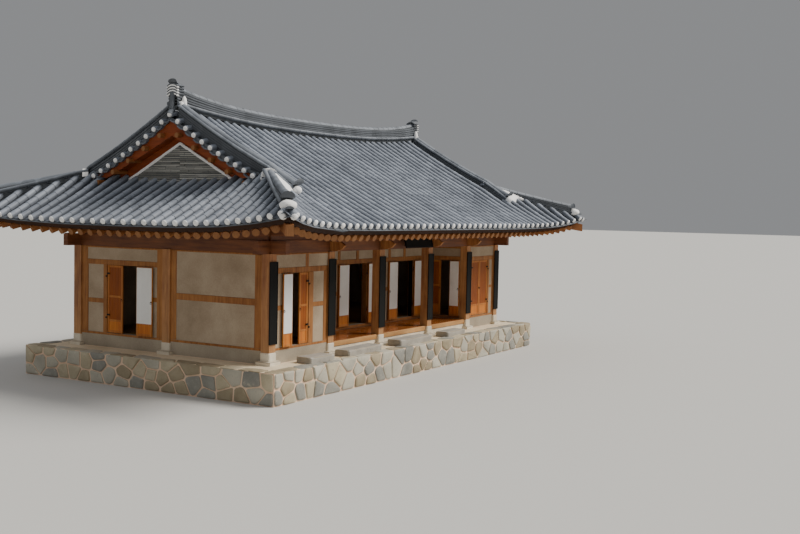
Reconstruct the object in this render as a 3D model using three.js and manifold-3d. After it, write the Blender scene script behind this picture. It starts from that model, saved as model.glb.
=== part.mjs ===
// Tile-roofed timber house with a hip-and-gable roof, a front porch and paper doors, on a stone podium.
// Millimetres, +Z up, front towards -Y, standing on z = 0 at the podium's underside.
import * as THREE from 'three';
import { mergeVertices } from 'three/addons/utils/BufferGeometryUtils.js';
import Module from 'manifold-3d';

const wasm = await Module();
wasm.setup();

// Driving dimensions
const PODIUM = { x: 6950, y0: -3990, y1: 3950, top: 740 };
const FOOT = 830;
const COL = 240;
const XC = [-5950, -3556, -1161, 1521, 3984, 5950];
const YF = -3050;
const YB = 3050;
const PORCH_Y = -1769;
const WALL = 140;
const SILL = FOOT + 285;
const HEAD = FOOT + 2015;
const BEAM0 = FOOT + 2480;
const ROOM_FLOOR = FOOT + 280;
const PORCH_FLOOR = FOOT + 207;
const LEAF = 36;
const HINGE = 22;
const GAP = 7;

// Roof form: half sizes of the eaves, their bow in plan, the slope's rise and the lift of the corners
const ROOF = {
  ex: 8258, ey: 5358, bow: 588, z0: FOOT + 3150, rise: 2500, lift: 328, ridgeLift: 310,
  verge: 5950, vergeCore: 5860, gable: 5588, step: 0.06, lip: 110, crown: 60,
};
const UNDER = { s1: 0.3606, z1: FOOT + 3606, k0: 2025, k1: 2648 };
const BOARD = 30;
const RAFTER = 145;
const DROP = 34;
const PITCH = 310;

const TONE = {
  stone: 0xa59c8d, wood: 0x8a4b26, plaster: 0xb8ab97, paper: 0xe9e6df, tile: 0x4a5058, floor: 0xb0632c,
};

// Solids from geometries
function solid(geometry) {
  let g = geometry.clone();
  for (const key of ['normal', 'uv']) if (g.attributes[key]) g.deleteAttribute(key);
  g = mergeVertices(g, 1e-4);
  const mesh = new wasm.Mesh({
    numProp: 3,
    vertProperties: Float32Array.from(g.attributes.position.array),
    triVerts: Uint32Array.from(g.index.array),
  });
  return new wasm.Manifold(mesh);
}

function box(x0, x1, y0, y1, z0, z1) {
  const g = new THREE.BoxGeometry(x1 - x0, y1 - y0, z1 - z0);
  g.translate((x0 + x1) / 2, (y0 + y1) / 2, (z0 + z1) / 2);
  return solid(g);
}

function rod(a, b, radius, sides) {
  const from = new THREE.Vector3(...a);
  const to = new THREE.Vector3(...b);
  const dir = to.clone().sub(from);
  const g = new THREE.CylinderGeometry(radius, radius, dir.length(), sides);
  g.applyQuaternion(new THREE.Quaternion().setFromUnitVectors(new THREE.Vector3(0, 1, 0), dir.clone().normalize()));
  g.translate((a[0] + b[0]) / 2, (a[1] + b[1]) / 2, (a[2] + b[2]) / 2);
  return solid(g);
}

function join(list) {
  return list.reduce((sum, item) => sum.add(item));
}

// The main body of a shape, without the slivers a cut leaves
function core(shape) {
  return shape.decompose().reduce((best, item) => (item.volume() > best.volume() ? item : best));
}

// A closed skin between an upper and a lower grid of points, each given as upper[row][column];
// its diagonals mirror about the middle column
function skin(upper, lower) {
  const rows = upper.length;
  const cols = upper[0].length;
  const points = [];
  for (const grid of [upper, lower]) for (const row of grid) for (const p of row) points.push(...p);
  const at = (side, i, j) => side * rows * cols + i * cols + j;
  const index = [];
  const quad = (a, b, c, d) => index.push(a, b, c, a, c, d);
  for (let i = 0; i < rows - 1; i += 1) {
    for (let j = 0; j < cols - 1; j += 1) {
      const upperFace = [at(0, i, j), at(0, i, j + 1), at(0, i + 1, j + 1), at(0, i + 1, j)];
      const lowerFace = [at(1, i, j), at(1, i + 1, j), at(1, i + 1, j + 1), at(1, i, j + 1)];
      const turn = j < (cols - 1) / 2 ? 0 : 1;
      for (const f of [upperFace, lowerFace]) quad(...[0, 1, 2, 3].map((k) => f[(k + turn) % 4]));
    }
    quad(at(0, i, 0), at(0, i + 1, 0), at(1, i + 1, 0), at(1, i, 0));
    quad(at(0, i + 1, cols - 1), at(0, i, cols - 1), at(1, i, cols - 1), at(1, i + 1, cols - 1));
  }
  for (let j = 0; j < cols - 1; j += 1) {
    quad(at(0, 0, j + 1), at(0, 0, j), at(1, 0, j), at(1, 0, j + 1));
    quad(at(0, rows - 1, j), at(0, rows - 1, j + 1), at(1, rows - 1, j + 1), at(1, rows - 1, j));
  }
  const g = new THREE.BufferGeometry();
  g.setAttribute('position', new THREE.BufferAttribute(new Float32Array(points), 3));
  g.setIndex(signedVolume(points, index) < 0 ? index.reverse() : index);
  return solid(g);
}

function signedVolume(points, index) {
  const p = (k) => new THREE.Vector3(...points.slice(3 * k, 3 * k + 3));
  let sum = 0;
  for (let t = 0; t < index.length; t += 3) sum += p(index[t]).dot(p(index[t + 1]).cross(p(index[t + 2])));
  return sum;
}

// A squared timber from a to b, given by the middle of its top face at each end
function timber(a, b, width, depth) {
  const len = Math.hypot(b[0] - a[0], b[1] - a[1]);
  const nx = (-(b[1] - a[1]) / len) * (width / 2);
  const ny = ((b[0] - a[0]) / len) * (width / 2);
  const face = (down) => [-1, 1].map((k) => [a, b].map((p) => [p[0] + k * nx, p[1] + k * ny, p[2] - down]));
  return skin(face(0), face(depth));
}

// Roof surfaces: s runs from the eave to the ridge, u across the slope
function slopeHeight(s) {
  return ROOF.z0 + ROOF.rise * (0.89 * s + 0.11 * s * s);
}

function underHeight(s) {
  return UNDER.z1 + (s < UNDER.s1 ? UNDER.k0 : UNDER.k1) * (s - UNDER.s1);
}

function mainPoint(s, u) {
  const t = 1 - s;
  const half = Math.max(ROOF.verge, ROOF.ex - ROOF.ey + ROOF.ey * t);
  return [u * half, -t * (ROOF.ey - ROOF.bow * (1 - Math.abs(u) ** 4.6))];
}

function sidePoint(s, v) {
  const t = 1 - s;
  return [-ROOF.ex + ROOF.ey * s + ROOF.bow * t * (1 - Math.abs(v) ** 2.17), v * ROOF.ey * t];
}

function topHeight(s, u, power) {
  const w = Math.abs(u);
  return slopeHeight(s) + ROOF.lift * w ** power * (1 - s) ** 2 + ROOF.ridgeLift * s * s * w ** 2.5;
}

function lowHeight(s, u, power) {
  return underHeight(s) + ROOF.lift * Math.abs(u) ** power * (1 - s) ** 2;
}

function grids(point, power, rows, cols, upper, lower) {
  const top = rows.map((s) => cols.map((u) => [...point(s, u), upper(s, u, power)]));
  const low = rows.map((s) => cols.map((u) => [...point(s, u), lower(s, u, power)]));
  return skin(top, low);
}

const half = [0, 0.3, 0.5, 0.65, 0.76, 0.85, 0.92, 0.965, 1];
const ACROSS = [...half.slice(1).reverse().map((u) => -u), ...half];
const halfSide = [0, 0.35, 0.6, 0.8, 0.92, 1];
const ACROSS_SIDE = [...halfSide.slice(1).reverse().map((u) => -u), ...halfSide];
const MAIN_ROWS = [0, ROOF.step, ROOF.step + 0.0005, 0.18, UNDER.s1, 0.4308, 0.62, 0.81, 1];
const SIDE_ROWS = [0, ROOF.step, ROOF.step + 0.0005, 0.18, UNDER.s1, 0.4308, 0.52];

function slabTop(grow) {
  return (s, u, power) => topHeight(s, u, power) + ROOF.crown + grow;
}

function slabLow(grow) {
  return (s, u, power) => {
    const low = s <= ROOF.step ? topHeight(s, u, power) - ROOF.lip : lowHeight(s, u, power);
    return low - grow;
  };
}

function mainSlab(grow) {
  const body = grids(mainPoint, 7.5, MAIN_ROWS, ACROSS, slabTop(grow), slabLow(grow));
  const lipLow = (s, u, power) => topHeight(s, u, power) - 120 - grow;
  const deep = (s, u, power) => lowHeight(s, u, power) - 400;
  const edge = (side) => {
    const point = (s, u) => [side * (u ? ROOF.verge + 60 : ROOF.vergeCore + grow), mainPoint(s, 1)[1]];
    const seen = (fn) => (s, u, power) => fn(s, 1, power);
    return grids(point, 7.5, [0.4308, 0.62, 0.81, 1.06], [0, 1], seen(lipLow), seen(deep));
  };
  return body.subtract(edge(-1)).subtract(edge(1));
}

// The space above the underside of the long slopes and of the end slopes
function aboveMain() {
  const up = (s, u, power) => topHeight(s, u, power) + 2500;
  const low = (s, u, power) => lowHeight(s, u, power) - 0.3;
  return grids(mainPoint, 7.5, [0, 0.18, UNDER.s1, 0.4308, 0.62, 0.81, 1], ACROSS, up, low);
}

function aboveSide() {
  const up = (s, u, power) => topHeight(s, u, power) + 2500;
  const low = (s, u, power) => lowHeight(s, u, power) - 0.3;
  return grids(sidePoint, 3.27, [0, 0.18, UNDER.s1, 0.4308, 0.54], ACROSS_SIDE, up, low);
}

// The space below the end slope: under its tiles outside the gable, under its boarding inside
function belowSide() {
  const deep = (s, u, power) => lowHeight(s, u, power) - 2500;
  const tiles = grids(sidePoint, 3.27, [0.2, UNDER.s1, 0.4308, 0.54], ACROSS_SIDE, slabTop(0.3), deep);
  const boards = grids(sidePoint, 3.27, [0.2, UNDER.s1, 0.4308, 0.54], ACROSS_SIDE, lowHeight, deep);
  return tiles.subtract(box(-ROOF.gable, 0, -4000, 4000, 0, 12000)).add(boards);
}

// Height of the tiled surface over a point of the plan
function roofAt(x, y) {
  const ax = Math.abs(x);
  const ay = Math.abs(y);
  if (ax <= Math.max(ROOF.verge + 1, ROOF.ex - ROOF.ey + ay)) {
    let s = 1 - ay / ROOF.ey;
    let u = 0;
    for (let i = 0; i < 30; i += 1) {
      u = Math.min(1, ax / Math.max(ROOF.verge, ROOF.ex - ROOF.ey + ROOF.ey * (1 - s)));
      s = 1 - ay / (ROOF.ey - ROOF.bow * (1 - u ** 4.6));
    }
    return topHeight(s, u, 7.5);
  }
  let s = (ROOF.ex - ax) / ROOF.ey;
  let v = 0;
  for (let i = 0; i < 40; i += 1) {
    v = Math.min(1, ay / (ROOF.ey * (1 - s)));
    s = (ROOF.ex - ax - ROOF.bow * (1 - s) * (1 - v ** 2.17)) / ROOF.ey;
  }
  return topHeight(s, v, 3.27);
}

// A ridge of stacked tiles along a plan line; each stop is x, y, height over the tiles
function ridgeRun(stops, width) {
  const upper = [[], []];
  const lower = [[], []];
  stops.forEach(([x, y, high], i) => {
    const [px, py] = stops[Math.max(0, i - 1)];
    const [qx, qy] = stops[Math.min(stops.length - 1, i + 1)];
    const len = Math.hypot(qx - px, qy - py);
    const nx = (-(qy - py) / len) * (width / 2);
    const ny = ((qx - px) / len) * (width / 2);
    const z = roofAt(x, y);
    [-1, 1].forEach((side, k) => {
      upper[k].push([x + side * nx, y + side * ny, z + high]);
      lower[k].push([x + side * nx, y + side * ny, z - 80]);
    });
  });
  return skin(upper, lower);
}

function ridgeSet() {
  const along = [-5900, -5600, -5000, -4000, -2500, 0, 2500, 4000, 5000, 5600, 5900];
  const main = ridgeRun(along.map((x) => [x, 0, 400 + 110 * (Math.abs(x) / 5900) ** 6]), 300);
  const down = ridgeRun([[-5780, -3650, 330], [-5780, -3300, 270], [-5780, -2400, 260], [-5780, -1200, 260],
    [-5780, 0, 260]], 240);
  const hip = ridgeRun([[-5640, -2740, 200], [-6300, -3400, 210], [-6900, -4000, 220], [-7420, -4520, 280]], 230);
  const tail = ridgeRun([[-7300, -4400, 110], [-7700, -4800, 110], [-8160, -5260, 120]], 190);
  const corner = join([down, hip, tail]);
  const left = corner.add(corner.mirror([0, 1, 0]));
  return join([main, left, left.mirror([1, 0, 0])]);
}

// Eaves: rafters fanned towards the corners, the eave board on their ends, and boarding under the gable
function boarding(point, power, cols, s0, s1) {
  const up = (s, u, p) => lowHeight(s, u, p) - 0.3;
  const low = (s, u, p) => lowHeight(s, u, p) - BOARD;
  return grids(point, power, [s0, UNDER.s1, s1], cols, up, low);
}

function eaveBoard(point, power, cols) {
  const up = (s, u, p) => topHeight(s, u, p) - ROOF.lip - 0.3;
  const low = (s, u, p) => lowHeight(s, u, p) - DROP - 12;
  return grids(point, power, [ROOF.step - 0.018, ROOF.step - 0.0005], cols, up, low);
}

function rafterRow(point, power, halfIn, halfOut, flat) {
  const axis = point === mainPoint ? 0 : 1;
  const place = (s, reach) => {
    const u = reach / Math.abs(point(s, 1)[axis]);
    return [...point(s, u), lowHeight(s, u, power) - DROP];
  };
  const rods = [];
  const count = Math.round((2 * halfOut) / PITCH);
  for (let k = 0; k <= count; k += 1) {
    const out = -halfOut + k * ((2 * halfOut) / count);
    const over = Math.max(0, Math.abs(out) - flat) / (halfOut - flat);
    const inner = Math.sign(out) * (Math.min(Math.abs(out), flat) + over * (halfIn - flat));
    rods.push(timber(place(0.036, out), place(0.4, inner), RAFTER, RAFTER));
  }
  return join(rods);
}

function cornerRafter() {
  const z = (x, y) => lowHeight(1 + y / ROOF.ey, 1, 7.5) - DROP;
  const upper = [[], []];
  const lower = [[], []];
  [[-8130, -5230], [-7500, -4600], [-6700, -3800], [-5850, -2950]].forEach(([x, y], i) => {
    const d = 85 / Math.SQRT2;
    const deep = i === 0 ? 230 : 260;
    [-1, 1].forEach((side, k) => {
      upper[k].push([x + side * d, y - side * d, z(x, y)]);
      lower[k].push([x + side * d, y - side * d, z(x, y) - deep]);
    });
  });
  return skin(upper, lower);
}

function eaves(frame, around) {
  const cutMain = aboveMain();
  const cutBoth = cutMain.add(cutMain.mirror([0, 1, 0]));
  const lifted = frame.translate([0, 0, 0.4]).add(frame);
  const hip = cornerRafter();
  const hips = hip.add(hip.mirror([0, 1, 0]));
  const all = hips.add(hips.mirror([1, 0, 0]));
  const moves = [[1.2, 0, 0], [-1.2, 0, 0], [0, 0, 1], [0, 0, -1]];
  const loose = join(moves.map((m) => all.translate(m)));
  const rows = rafterRow(mainPoint, 7.5, 5700, 7650, 4600).subtract(cutMain);
  const front = core(join([eaveBoard(mainPoint, 7.5, ACROSS), rows])
    .subtract(lifted).subtract(loose).subtract(around));
  const fans = rafterRow(sidePoint, 3.27, 2650, 4760, 1500).subtract(aboveSide());
  const left = core(join([boarding(sidePoint, 3.27, ACROSS_SIDE, 0.33, 0.505), eaveBoard(sidePoint, 3.27, ACROSS_SIDE)])
    .subtract(hipGap()).subtract(cutBoth.subtract(box(-9000, -6500, -9000, 9000, 0, 12000)))
    .add(fans).add(hips).subtract(lifted).subtract(around));
  return { front, left };
}

// Framing: front columns, the left middle column, the beams round the house and the infill over the doors
function ringBeam() {
  const reach = 520;
  const parts = [];
  const run = (along, at, from, to) => {
    const add = (w, z0, z1, extra) => parts.push(along
      ? box(from - extra, to + extra, at - w / 2, at + w / 2, FOOT + z0, FOOT + z1)
      : box(at - w / 2, at + w / 2, from - extra, to + extra, FOOT + z0, FOOT + z1));
    add(150, 2480, 2780, reach);
    add(80, 2780, 2900, 0);
    add(120, 2900, 3110, reach * 0.9);
    const mid = FOOT + 3250;
    parts.push(along
      ? rod([from - reach, at, mid], [to + reach, at, mid], 150 / Math.cos(Math.PI / 8), 8)
      : rod([at, from - reach, mid], [at, to + reach, mid], 150 / Math.cos(Math.PI / 8), 8));
  };
  run(true, YF, XC[0], XC[5]);
  run(true, YB, XC[0], XC[5]);
  run(false, XC[0], YF, YB);
  run(false, XC[5], YF, YB);
  return join(parts);
}

function column(x, y) {
  return box(x - COL / 2, x + COL / 2, y - COL / 2, y + COL / 2, FOOT, BEAM0 + 5);
}

function overDoor(x0, x1, y0, y1) {
  return box(x0, x1, y0, y1, HEAD, BEAM0 + 5);
}

function frameNode() {
  const columns = [...XC.map((x) => column(x, YF)), column(XC[0], 0)];
  const c = COL / 2 - 5;
  const over = [
    overDoor(XC[0] + c, XC[1] - c, YF - 70, YF + 70),
    overDoor(XC[4] + c, XC[5] - c, YF - 70, YF + 70),
    overDoor(XC[0] - 70, XC[0] + 70, c, YB - 200),
  ];
  return join([...columns, ringBeam(), ...over]);
}

// Doors: openings in plan, given by the wall's outer face and the way it looks
const DOORS = [
  { name: 'left_door', face: 'left', at: XC[0] - 70, a: 960, b: 2030, rest: [0, 180] },
  { name: 'room_door', face: 'front', at: YF - 70, a: -5216, b: -4483, rest: [180, 0] },
  { name: 'porch_door_1', face: 'front', at: PORCH_Y, a: -2900, b: -1900, rest: [0, 180] },
  { name: 'porch_door_2', face: 'front', at: PORCH_Y, a: -732, b: 268, rest: [180, 180] },
  { name: 'porch_door_3', face: 'front', at: PORCH_Y, a: 1925, b: 2925, rest: [180, 180] },
  { name: 'return_door', face: 'left', at: XC[4] - 70, a: -2570, b: -1880, rest: [0, 180] },
  { name: 'end_door', face: 'front', at: YF - 70, a: 4249, b: 5416, rest: [0, 0] },
];
const LEVELS = [430, 1480];

// A door is drawn as if its wall looked to -Y with the opening along +X, then carried to its wall
function carry(door, shape) {
  if (door.face === 'front') return shape.translate([0, door.at, 0]);
  return shape.rotate([0, 0, -90]).translate([door.at, 0, 0]);
}

function span(door) {
  return door.face === 'front' ? [door.a, door.b] : [-door.b, -door.a];
}

function pintles(door, first) {
  const [a, b] = span(door);
  const parts = [];
  const x = first ? a : b;
  const side = first ? -1 : 1;
  for (const z of LEVELS) {
    const pin = rod([x, -HINGE, SILL + z - 60], [x, -HINGE, SILL + z - 0.3], 11, 8);
    const arm = box(Math.min(x, x + side * 40), Math.max(x, x + side * 40), -HINGE - 4, 2, SILL + z - 60, SILL + z - 20);
    parts.push(pin.add(arm));
  }
  return carry(door, join(parts));
}

function leafShape(door, first) {
  const [a, b] = span(door);
  const mid = (a + b) / 2;
  const x0 = first ? a + GAP : mid + 4;
  const x1 = first ? mid - 4 : b - GAP;
  const slab = box(x0, x1, 0, LEAF, SILL + GAP, HEAD - GAP);
  const axis = first ? a : b;
  const parts = [slab];
  for (const z of LEVELS) {
    const barrel = rod([axis, -HINGE, SILL + z], [axis, -HINGE, SILL + z + 60], 11, 8);
    const [p0, p1] = first ? [axis + 6, axis + 90] : [axis - 90, axis - 6];
    parts.push(barrel, box(p0, p1, -HINGE - 3, 2, SILL + z + 10, SILL + z + 50));
  }
  const turn = door.rest[first ? 0 : 1] * (first ? -1 : 1);
  const shape = join(parts).translate([-axis, HINGE, 0]).rotate([0, 0, turn]).translate([axis, -HINGE, 0]);
  return carry(door, shape);
}

// Masonry: the podium with its base stones, low walls under the walls, and stepping stones
function stone(x, y, w, d, z1, turn) {
  const c = 0.16 * d;
  const plan = new THREE.Shape([[1, 0.8], [0.7, 1], [-0.72, 1], [-1, 0.75], [-1, -0.7], [-0.66, -1], [0.74, -1], [1, -0.78]]
    .map(([i, j]) => new THREE.Vector2(i * (w / 2 - c) + Math.sign(i) * c * Math.abs(i), (j * d) / 2)));
  const g = new THREE.ExtrudeGeometry(plan, { depth: z1 - PODIUM.top + 20, bevelEnabled: false });
  g.rotateZ(turn);
  g.translate(x, y, PODIUM.top - 20);
  return solid(g);
}

function podiumNode() {
  const base = box(-PODIUM.x, PODIUM.x, PODIUM.y0, PODIUM.y1, 0, PODIUM.top);
  const parts = [base];
  const spots = [...XC.map((x) => [x, YF]), ...XC.map((x) => [x, YB]), [XC[0], 0], [XC[5], 0]];
  for (const [x, y] of spots) parts.push(box(x - 210, x + 210, y - 210, y + 210, PODIUM.top - 5, FOOT));
  const low = (x0, x1, y0, y1) => parts.push(box(x0, x1, y0, y1, PODIUM.top - 5, SILL));
  const g = COL / 2 + 0.3;
  low(XC[0] + g, XC[1] - g, YF - 80, YF + 80);
  low(XC[4] + g, XC[5] - g, YF - 80, YF + 80);
  low(XC[0] - 80, XC[0] + 80, YF + g, -g);
  low(XC[0] - 80, XC[0] + 80, g, YB - g);
  low(XC[5] - 80, XC[5] + 80, YF + g, -g);
  low(XC[5] - 80, XC[5] + 80, g, YB - g);
  for (let i = 0; i < 5; i += 1) low(XC[i] + g, XC[i + 1] - g, YB - 80, YB + 80);
  low(XC[1] - 80, XC[4] + 80, PORCH_Y, PORCH_Y + 150);
  low(XC[1] - 80, XC[1] + 80, YF + g, PORCH_Y + 10);
  low(XC[4] - 80, XC[4] + 80, YF + g, PORCH_Y + 10);
  parts.push(stone(-2900, -3580, 1600, 430, FOOT + 70, 0.03), stone(-300, -3580, 1650, 430, FOOT + 80, -0.02));
  parts.push(stone(2100, -3570, 1150, 400, FOOT + 60, 0.03), stone(-4800, -3590, 950, 430, FOOT + 60, -0.04));
  return join(parts);
}

function roomFloor() {
  const c = 90;
  const all = box(XC[0] + c, XC[5] - c, YF + c, YB - c, PODIUM.top + 0.3, ROOM_FLOOR);
  const porch = box(XC[1] - c, XC[4] + c, YF - 500, PORCH_Y + 160, 0, 3000);
  const cuts = [];
  for (const x of XC) for (const y of [YF, YB]) cuts.push(box(x - 211, x + 211, y - 211, y + 211, 0, 3000));
  for (const x of [XC[0], XC[5]]) cuts.push(box(x - 211, x + 211, -211, 211, 0, 3000));
  return all.subtract(porch).subtract(join(cuts));
}

function porchFloor() {
  const x0 = XC[1] + 81;
  const x1 = XC[4] - 81;
  const deck = box(x0, x1, YF - 70, PORCH_Y - 0.3, PORCH_FLOOR - 45, PORCH_FLOOR);
  const edge = box(x0, x1, YF - 75, YF - 5, FOOT + 21, PORCH_FLOOR);
  const bearers = [-2900, -1800, -500, 600, 1900, 3000].map((x) => box(x - 45, x + 45, YF - 60, PORCH_Y - 0.3,
    PODIUM.top + 0.3, PORCH_FLOOR - 20));
  const posts = XC.slice(1, 5).map((x) => box(x - 121, x + 121, YF - 121, YF + 121, 0, 3000));
  const bases = XC.slice(1, 5).map((x) => box(x - 211, x + 211, YF - 211, YF + 211, 0, FOOT + 0.3));
  return join([deck, edge, ...bearers]).subtract(join([...posts, ...bases]));
}

// Walls
function pier(x0, x1, y0, y1, top) {
  return box(x0, x1, y0, y1, SILL, top);
}

function wallNodes(cutMain) {
  const c = COL / 2 + 0.3;
  const w = WALL / 2;
  const out = {};
  const over = BEAM0 - 0.3;
  out.left_wall = pier(XC[0] - w, XC[0] + w, YF + c, -c, over);
  const [ld, rd, p1, p2, p3, re, en] = DOORS;
  out.left_pier_1 = pier(XC[0] - w, XC[0] + w, c, ld.a, HEAD - 0.3).add(pintles(ld, false));
  const lp2 = pier(XC[0] - w, XC[0] + w, ld.b, YB - c, HEAD - 0.3);
  out.left_pier_2 = lp2.add(box(XC[0] - w, XC[0] + w, YB - 199, YB - c, SILL, over)).add(pintles(ld, true));
  out.room_pier_1 = pier(XC[0] + c, rd.a, YF - w, YF + w, HEAD - 0.3).add(pintles(rd, true));
  out.room_pier_2 = pier(rd.b, XC[1] - c, YF - w, YF + w, HEAD - 0.3).add(pintles(rd, false));
  out.end_pier_1 = pier(XC[4] + c, en.a, YF - w, YF + w, HEAD - 0.3).add(pintles(en, true));
  out.end_pier_2 = pier(en.b, XC[5] - c, YF - w, YF + w, HEAD - 0.3).add(pintles(en, false));
  const pw = (x0, x1) => pier(x0, x1, PORCH_Y, PORCH_Y + WALL, HEAD - 0.3);
  out.porch_pier_1 = pw(XC[1] + w + 0.3, p1.a).add(pintles(p1, true));
  out.porch_pier_2 = pw(p1.b, p2.a).add(pintles(p1, false)).add(pintles(p2, true));
  out.porch_pier_3 = pw(p2.b, p3.a).add(pintles(p2, false)).add(pintles(p3, true));
  out.porch_pier_4 = pw(p3.b, XC[4] - w - 0.3).add(pintles(p3, false));
  const high = FOOT + 5600;
  out.porch_band = join([
    box(XC[1] + w + 0.3, XC[4] + w, PORCH_Y, PORCH_Y + WALL, HEAD, high),
    box(XC[4] - w, XC[4] + w, YF + 300, PORCH_Y + 10, HEAD, high),
    box(XC[4] - w, XC[4] + w, YF + c, YF + 305, HEAD, over),
  ]).subtract(cutMain);
  out.return_pier_1 = pier(XC[4] - w, XC[4] + w, YF + c, re.a, HEAD - 0.3).add(pintles(re, false));
  out.return_pier_2 = pier(XC[4] - w, XC[4] + w, re.b, PORCH_Y + WALL, HEAD - 0.3).add(pintles(re, true));
  const lr = box(XC[1] - w, XC[1] + w, YF + 300, PORCH_Y + WALL, SILL, high)
    .add(box(XC[1] - w, XC[1] + w, YF + c, YF + 305, SILL, over));
  out.left_return_wall = lr.subtract(cutMain);
  return out;
}

function windowed(panel, holes) {
  return holes.reduce((p, h) => p.subtract(box(...h)), panel);
}

function backWall() {
  const w = WALL / 2;
  const parts = XC.map((x) => column(x, YB).intersect(box(-9000, 9000, 0, 9000, 0, BEAM0 - 0.3)));
  for (let i = 0; i < 5; i += 1) parts.push(box(XC[i] + 110, XC[i + 1] - 110, YB - w, YB + w, SILL + 0.3, BEAM0 - 0.3));
  const holes = [1, 2, 3].map((i) => {
    const m = (XC[i] + XC[i + 1]) / 2;
    return [m - 560, m + 560, YB - 300, YB + 300, FOOT + 1050, FOOT + 1850];
  });
  return windowed(join(parts), holes);
}

function rightWall() {
  const w = WALL / 2;
  const x = XC[5];
  const post = column(x, 0).intersect(box(0, 9000, -9000, 9000, 0, BEAM0 - 0.3));
  const panels = [[YF + 120.3, -110], [110, YB - 120.3]].map(([a, b]) => box(x - w, x + w, a, b, SILL + 0.3, BEAM0 - 0.3));
  return windowed(join([post, ...panels]), [[x - 300, x + 300, 1000, 2100, FOOT + 1050, FOOT + 1850]]);
}

// Gables: wall, verge soffits and bargeboards
function gableNode(cut, grown) {
  const strip = (xa, xb, up, low) => {
    const point = (s, u) => [u ? xb : xa, mainPoint(s, 1)[1]];
    const seen = (fn) => (s, u, p) => fn(s, 1, p);
    const one = grids(point, 7.5, [0.435, 0.62, 0.81, 1], [0, 1], seen(up), seen(low));
    return one.add(one.mirror([0, 1, 0]));
  };
  const under = (d) => (s, u, p) => lowHeight(s, u, p) - d;
  const edge = -ROOF.vergeCore;
  const wall = box(-ROOF.gable + 0.3, -ROOF.gable + 120, -3000, 3000, FOOT + 3800, FOOT + 6400);
  const soffit = strip(edge + 2, -ROOF.gable + 20, under(-40), under(34));
  const tie = strip(edge - 45, edge + 10, under(5), under(60));
  const board = strip(edge - 45, edge - 0.3, (s, u, p) => topHeight(s, u, p) - 121, under(60));
  return core(join([wall, soffit, tie]).subtract(cut).add(board).subtract(grown).subtract(belowSide()));
}

function mesh(name, shape, color) {
  const m = shape.getMesh();
  const g = new THREE.BufferGeometry();
  g.setAttribute('position', new THREE.BufferAttribute(new Float32Array(m.vertProperties), 3));
  g.setIndex(new THREE.BufferAttribute(new Uint32Array(m.triVerts), 1));
  const flat = g.toNonIndexed();
  flat.computeVertexNormals();
  const out = new THREE.Mesh(flat, new THREE.MeshStandardMaterial({ color, roughness: 0.8 }));
  out.name = name;
  return out;
}

function build() {
  const group = new THREE.Group();
  group.name = 'house';
  const put = (name, shape, color) => group.add(mesh(name, shape, color));
  const mirrorY = (s) => s.mirror([0, 1, 0]);
  const mirrorX = (s) => s.mirror([1, 0, 0]);

  const podium = podiumNode();
  const bay = (x0, x1) => podium.intersect(box(x0, x1, -9000, 9000, -10, 3000));
  put('podium_left', bay(-9000, -3300.3), TONE.stone);
  put('podium', bay(-3300, 3740), TONE.stone);
  put('podium_right', bay(3740.3, 9000), TONE.stone);
  put('room_floor', roomFloor(), TONE.floor);
  put('porch_floor', porchFloor(), TONE.floor);
  const frame = frameNode();
  put('timber_frame', frame, TONE.wood);

  const front = mainSlab(0);
  const grownFront = mainSlab(0.3);
  const grown = grownFront.add(mirrorY(grownFront));
  const cutFront = aboveMain();
  const cutBoth = cutFront.add(mirrorY(cutFront));
  const sideBody = grids(sidePoint, 3.27, SIDE_ROWS, ACROSS_SIDE, slabTop(0), slabLow(0));
  const left = core(sideBody.subtract(grown).subtract(box(-ROOF.gable, 0, -4000, 4000, 0, 12000))
    .subtract(hipGap()));
  const sideGrown = grids(sidePoint, 3.27, SIDE_ROWS, ACROSS_SIDE, slabTop(0.3), slabLow(0.3));
  put('roof_front', front, TONE.tile);
  put('roof_back', mirrorY(front), TONE.tile);
  put('roof_left', left, TONE.tile);
  put('roof_right', mirrorX(left), TONE.tile);

  const gable = gableNode(cutBoth, grown);
  put('gable_left', gable, TONE.wood);
  put('gable_right', mirrorX(gable), TONE.wood);

  const sides = sideGrown.add(mirrorX(sideGrown));
  const gables = gable.add(mirrorX(gable));
  const under = grown.add(sides).add(gables);
  const around = join([under, under.translate([0.5, 0, 0]), under.translate([-0.5, 0, 0])]);
  const ridges = core(ridgeSet().subtract(around));
  put('ridges', ridges, TONE.tile);

  const rows = eaves(frame, around);
  put('rafters_front', rows.front, TONE.wood);
  put('rafters_back', mirrorY(rows.front), TONE.wood);
  put('rafters_left', rows.left, TONE.wood);
  put('rafters_right', mirrorX(rows.left), TONE.wood);

  const walls = wallNodes(cutBoth);
  for (const [name, shape] of Object.entries(walls)) put(name, shape, TONE.plaster);
  put('back_wall', backWall(), TONE.plaster);
  put('right_wall', rightWall(), TONE.plaster);

  for (const door of DOORS) {
    put(`${door.name}_a`, leafShape(door, true), TONE.paper);
    put(`${door.name}_b`, leafShape(door, false), TONE.paper);
  }
  return group;
}

// A thin wedge that keeps the end slopes just clear of the long slopes along the hips
function hipGap() {
  const run = (a, b) => {
    const dx = b[0] - a[0];
    const dy = b[1] - a[1];
    const len = Math.hypot(dx, dy);
    const g = new THREE.BoxGeometry(len, 0.8, 9000);
    g.rotateZ(Math.atan2(dy, dx));
    g.translate((a[0] + b[0]) / 2, (a[1] + b[1]) / 2, 4500);
    return solid(g);
  };
  const k = ROOF.ex - ROOF.ey;
  return run([-k - 6000, -6000], [-k - 2000, -2000]).add(run([-k - 6000, 6000], [-k - 2000, 2000]));
}

export default build();
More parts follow.
